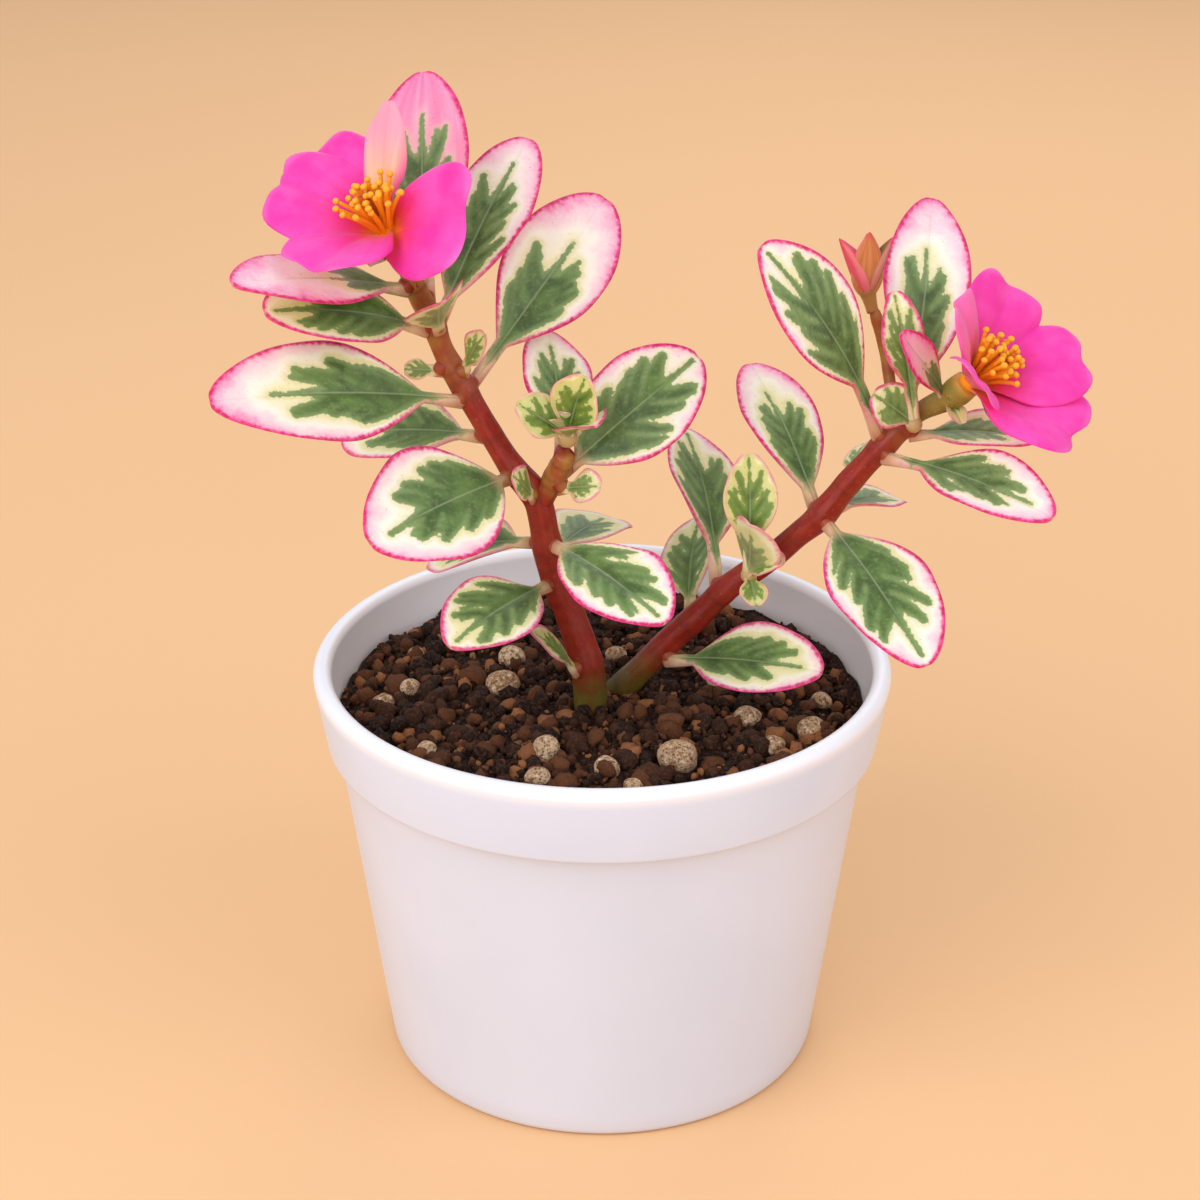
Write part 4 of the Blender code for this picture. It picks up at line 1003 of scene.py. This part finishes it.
def stamen_bodies(form, throat, frame_of, draw):
    """Curved filaments with their anthers round the ovary, its style and its stigma."""
    axis = frame_of @ (0.0, 0.0, 1.0)
    heart = throat + axis * OVARY_HEIGHT
    ball, ball_faces = ball_points(3)
    form.add(heart + ball * OVARY_RADIUS * 0.95, ball_faces, {"along": 0.2})
    form.add(throat + axis * 1.2 + ball * 1.5, ball_faces, {"along": 0.0})
    small, small_faces = ball_points(2)
    for ring, (count, lean, length) in enumerate(STAMEN_RINGS):
        for number in range(count):
            around = 360 * (number + 0.5 * ring) / count + draw.uniform(-9, 9)
            tilt = lean + draw.uniform(-5, 5)
            way = frame_of @ turn(around, 90 - tilt, 0) @ (1.0, 0.0, 0.0)
            out = frame_of @ turn(around, 0, 0) @ (1.0, 0.0, 0.0)
            start = throat + axis * 0.7 + out * 0.9
            middle = throat + axis * 3.6 + out * draw.uniform(0.6, 1.7)
            end = heart - axis * 0.4 + way * length * draw.uniform(0.80, 1.04)
            t = np.linspace(0, 1, 12)[:, None]
            route = (1 - t) ** 2 * start + 2 * t * (1 - t) * middle + t * t * end
            form.loft(tube_rings(route, FILAMENT_RADIUS - FILAMENT_TAPER * t[:, 0], 8), {"along": t})
            facing = turn(draw.uniform(0, 360), draw.uniform(-40, 40), 0)
            shape = small * ANTHER * (1 - 0.25 * np.abs(small[:, :1]) ** 2)
            form.add(end + shape @ facing.T, small_faces, {"along": 1.0, "anther": 1.0})
    t = np.linspace(0, 1, 7)[:, None]
    style = tube_rings(heart + axis * STYLE_LENGTH * t, 0.32 - 0.08 * t[:, 0], 8)
    form.loft(style, {"along": 0.3, "stigma": 0.5})
    for lobe in range(STIGMA_LOBES):
        out = frame_of @ turn(360 * lobe / STIGMA_LOBES, 0, 0) @ (1.0, 0.0, 0.0)
        route = heart + axis * (3.8 + 1.0 * t - 0.5 * t ** 2) + out * 1.25 * t
        form.loft(tube_rings(route, 0.24 - 0.10 * t[:, 0], 7), {"along": 0.5, "stigma": 1.0})


def make_flowers(paints):
    """Each flower as its calyx, corolla and stamens."""
    for order, (name, plan) in enumerate(FLOWERS.items()):
        throat = np.array(plan["throat"])
        stem_end, along, _ = place_on(plan["stem"], 1.0)
        heading, pitch = plan["axis"]
        frame_of = turn(heading, pitch - 90, 0)
        axis = frame_of @ (0.0, 0.0, 1.0)
        calyx_top = throat - axis * (RECEPTACLE_HEIGHT + GAP)
        foot = stem_end - along * 1.2
        elbow = stem_end + along * (GAP + CALYX_ELBOW)
        neck = calyx_top - axis * CALYX_ELBOW
        places = (foot, elbow, neck, calyx_top)
        knots = [(*point, radius) for point, radius in zip(places, CALYX_RADII)]
        knots.append((*(throat + axis * 0.5), 1.9))
        route = smooth_route(knots, 10)
        form = Form()
        share = np.linspace(0, 1, len(route))[:, None]
        rings = tube_rings(route[:, :3], route[:, 3], STEM_SIDES)
        form.loft(rings, {"flush": 0.55 * (1 - share), "along": share})
        form.make(f"{name}_calyx", paints["calyx"], "calyx", f"{name}_calyx")

        form = Form()
        for number, (heading, pitch, roll, length, width, pink) in enumerate(plan["sepals"]):
            look = (0.5, pink, 0.1, 0.8 - 0.6 * min(pink, 1.0))
            seat = calyx_top - axis * SEPAL_DROP
            seed = SEPAL_SEED + 10 * order + number
            rotation = turn(heading, pitch, roll)
            leaf_body(form, seat, rotation, length, width, SEPAL_BOW, SEPAL_CUP, look, seed)
        form.make(f"{name}_sepals", paints["leaf"], "calyx", f"{name}_calyx")

        form = Form()
        for number, (turned, lift, roll, length, width, pale) in enumerate(plan["petals"]):
            rotation = frame_of @ turn(turned, lift, roll)
            petal_body(form, throat, rotation, length, width, pale, 10 * order + number + 1)
        ball, faces = ball_points(3)
        form.add(throat + axis * 0.3 + ball * 1.3, faces, {"along": 0.12})
        form.make(f"{name}_corolla", paints["petal"], "petal", f"{name}_corolla")

        form = Form()
        stamen_bodies(form, throat, frame_of, np.random.default_rng(40 + order))
        form.make(f"{name}_stamens", paints["stamen"], "stamen", f"{name}_stamens")


def make_bud(material):
    """The bud's pointed, keeled scales."""
    form = Form()
    for order, (heading, pitch, length, width, red) in enumerate(BUD_SCALES):
        rows, sides = 28, 24
        t = np.linspace(0, 1, rows)[:, None]
        angle = np.linspace(0, 2 * math.pi, sides, endpoint=False)[None, :]
        half = 0.5 * width * np.sin(math.pi * np.clip(t * 0.93 + 0.07, 0, 1) ** 0.72) ** 0.8
        x = length * (t - 0.08) + 0 * angle
        y = half * np.cos(angle)
        keel = 1 + 0.25 * np.exp(-((np.cos(angle) / 0.25) ** 2)) * (np.sin(angle) > 0)
        z = 0.6 * half * np.sin(angle) * keel + 0.4 * np.sin(math.pi * t)
        rings = np.stack([x, y, z], -1)
        offset = turn(heading, 0, 0) @ (0.3, 0.0, 0.1 * order)
        place = np.array(BUD_FOOT) + offset
        form.loft(rings @ turn(heading, pitch, 10).T + place, {
            "along": t, "across": np.cos(angle) + 0 * t, "red": red,
        })
    ball, faces = ball_points(3)
    form.add(np.array(BUD_FOOT) + ball * 1.3, faces, {"along": 0.05})
    stalk_end = np.array(BUD_STALK[-1][:3])
    t = np.linspace(0, 1, 8)[:, None]
    route = stalk_end - (0, 0, 0.8) + (np.array(BUD_FOOT) - stalk_end + (0, 0, 0.8)) * t
    form.loft(tube_rings(route, 0.8 + 0.5 * t[:, 0] ** 2, 20), {"along": 0.05})
    form.make("bud", material, "bud", "bud")


# Pot and soil

def make_pot(material):
    """The pot, turned from its profile."""
    lip = 0.5 * (LIP_OUTER_RADIUS - LIP_INNER_RADIUS)
    middle = LIP_INNER_RADIUS + lip
    profile = [
        (0.01, FLOOR), (10.0, FLOOR), (FOOT_RADIUS - WALL - 1.5, FLOOR),
        (FOOT_RADIUS - WALL, FLOOR + 0.5), (FOOT_RADIUS - WALL + 0.4, FLOOR + 1.5),
        (BODY_TOP_RADIUS - WALL, COLLAR_FOOT_HEIGHT - 0.5),
        (LIP_INNER_RADIUS - 0.8, SOIL_HEIGHT - 0.8),
    ]
    for step in range(25):
        angle = math.pi * (1 - step / 24)
        profile.append((middle + lip * math.cos(angle), POT_HEIGHT - lip + lip * math.sin(angle)))
    collar = [
        (0.10, 0.75), (0.07, 0.45), (-0.02, 0.20), (-0.20, 0.05), (-0.50, 0.0), (-0.95, -0.02),
    ]
    for out, up in collar:
        profile.append((COLLAR_FOOT_RADIUS + out, COLLAR_FOOT_HEIGHT + up))
    profile.append((BODY_TOP_RADIUS + 0.1, COLLAR_FOOT_HEIGHT - 0.1))
    profile.append((BODY_TOP_RADIUS, COLLAR_FOOT_HEIGHT - 0.45))
    for step in range(1, 8):
        share = step / 8
        radius = BODY_TOP_RADIUS + (FOOT_RADIUS - BODY_TOP_RADIUS) * share
        height = COLLAR_FOOT_HEIGHT + (FOOT_ROUNDING - COLLAR_FOOT_HEIGHT) * share
        profile.append((radius, height))
    for step in range(7):
        angle = math.radians(15 * step)
        profile.append((
            FOOT_RADIUS - FOOT_ROUNDING * (1 - math.cos(angle)), FOOT_ROUNDING * (1 - math.sin(angle)),
        ))
    profile += [(20.0, 0.0), (0.01, 0.0)]
    radii, heights = np.array(profile).T
    angle = np.linspace(0, 2 * math.pi, POT_STEPS, endpoint=False)
    rings = np.stack([
        radii[:, None] * np.cos(angle), radii[:, None] * np.sin(angle), heights[:, None] + 0 * angle,
    ], -1)
    form = Form()
    form.loft(rings[::-1], {"along": 0.0})
    form.make("pot", material, "pot", "pot")


def relief(x, y):
    """The soil's height above its mean, in millimetres."""
    return (
        0.45 * np.sin(0.31 * x + 1.3) * np.cos(0.27 * y - 0.4) + 0.30 * np.sin(0.83 * x - 0.61 * y)
        + 0.20 * np.sin(1.7 * x + 1.1 * y + 0.8) * np.sin(1.3 * y - 0.9 * x)
    )


def crumb_bodies(form, count, smallest, largest, detail, draw):
    """Loose crumbs of all sizes, half sunk in the soil, added to a form."""
    ball, faces = ball_points(detail)
    for _ in range(count):
        size = smallest * (largest / smallest) ** (draw.random() ** 1.6)
        away = (SOIL_RADIUS - size) * math.sqrt(draw.random())
        around = draw.uniform(0, 2 * math.pi)
        x, y = away * math.cos(around), away * math.sin(around)
        shape = ball * (1 + draw.uniform(-0.22, 0.22, (len(ball), 1)))
        shape = shape * size * draw.uniform(0.65, 1.2, 3)
        facing = turn(draw.uniform(0, 360), draw.uniform(-90, 90), draw.uniform(0, 360))
        height = SOIL_HEIGHT + relief(x, y) + draw.uniform(-0.4, 0.45) * size - 0.2
        tone = draw.random()
        form.add(shape @ facing.T + (x, y, height), faces, {"tone": tone})


def make_soil(paints):
    """The soil's bed with its crumbs, finer grit, and round granules."""
    form = Form()
    steps, sides = 56, 120
    away = SOIL_RADIUS * np.linspace(0.004, 1, steps)[:, None]
    around = np.linspace(0, 2 * math.pi, sides, endpoint=False)[None, :]
    x, y = away * np.cos(around), away * np.sin(around)
    draw = np.random.default_rng(7)
    z = SOIL_HEIGHT - 0.5 + relief(x, y) + draw.uniform(-0.35, 0.35, x.shape)
    top = np.stack([x, y, z], -1)
    bottom = top[::-1] * (1, 1, 0) + (0, 0, SOIL_HEIGHT - SOIL_DEPTH)
    form.loft(np.concatenate([bottom[:1] * (0.01, 0.01, 1), bottom[:1], top[::-1]]), {"tone": 0.1})
    crumb_bodies(form, CRUMBS, *CRUMB_SIZES, 2, np.random.default_rng(11))
    form.make("soil", paints["soil"], "soil", "soil")

    form = Form()
    crumb_bodies(form, GRIT, *GRIT_SIZES, 1, np.random.default_rng(12))
    form.make("soil_grit", paints["soil"], "soil", "soil")

    form = Form()
    ball, faces = ball_points(4)
    draw = np.random.default_rng(13)
    for x, y, radius in PEBBLES:
        bumps = sum(
            np.sin(ball @ draw.uniform(-4, 4, 3) + draw.uniform(0, 6)) * 0.022 for _ in range(7)
        )
        shape = ball * (1 + bumps + draw.uniform(-0.012, 0.012, len(ball)))[:, None]
        shape = shape * radius * (1.0, draw.uniform(0.88, 1.0), draw.uniform(0.8, 0.95))
        place = (x, y, SOIL_HEIGHT + 0.2 * radius)
        form.add(shape @ turn(draw.uniform(0, 360), 0, 0).T + place, faces, {"tone": draw.random()})
    form.make("soil_granules", paints["pebble"], "soil", "soil")


# Stage

def make_stage():
    """A plain pale floor, and soft light from the upper left front."""
    bm = bmesh.new()
    bmesh.ops.create_grid(bm, x_segments=2, y_segments=2, size=FLOOR_HALF)
    mesh = bpy.data.meshes.new("floor")
    bm.to_mesh(mesh)
    bm.free()
    paint = Paint("floor", Roughness=0.9, Specular_IOR_Level=0.2)
    mesh.materials.append(paint.finish(paint.mix(paint.noise(0.004), *FLOOR_COLOURS)))
    floor = bpy.data.objects.new("floor", mesh)
    bpy.context.scene.collection.objects.link(floor)

    world = bpy.data.worlds.new("world")
    world.use_nodes = True
    background = world.node_tree.nodes["Background"]
    background.inputs["Color"].default_value = srgb(SKY_COLOUR)
    background.inputs["Strength"].default_value = SKY_STRENGTH
    bpy.context.scene.world = world

    for name, size, power, place, colour in LAMPS:
        light = bpy.data.lights.new(name, "AREA")
        light.shape = "DISK"
        light.size = size
        light.energy = power
        light.color = srgb(colour)[:3]
        made = bpy.data.objects.new(name, light)
        made.location = place
        aim = Vector(LAMP_AIM) - Vector(place)
        made.rotation_euler = aim.to_track_quat("-Z", "Y").to_euler()
        bpy.context.scene.collection.objects.link(made)


def make_camera():
    """The camera at the photograph's viewing angle."""
    camera = bpy.data.cameras.new("camera")
    camera.sensor_width = SENSOR
    camera.lens = VIEW_LENS
    camera.clip_start = 0.01
    made = bpy.data.objects.new("camera", camera)
    tilt = math.radians(VIEW_TILT)
    made.location = Vector((
        VIEW_SIDE, -VIEW_DISTANCE * math.cos(tilt), VIEW_HEIGHT + VIEW_DISTANCE * math.sin(tilt),
    )) * MM
    made.rotation_euler = (math.pi / 2 - tilt, 0.0, 0.0)
    bpy.context.scene.collection.objects.link(made)
    bpy.context.scene.camera = made


paints = {
    "leaf": leaf_paint(),
    "stem": stem_paint(),
    "petal": petal_paint(),
    "stamen": stamen_paint(),
    "calyx": calyx_paint(),
    "bud": bud_paint(),
    "soil": soil_paint(),
    "pebble": pebble_paint(),
}
make_pot(pot_paint())
make_soil(paints)
make_stems(paints["stem"], make_leaves(paints["leaf"]))
make_tufts(paints["leaf"])
make_flowers(paints)
make_bud(paints["bud"])
make_stage()
make_camera()
bpy.context.scene.view_settings.view_transform = "Standard"
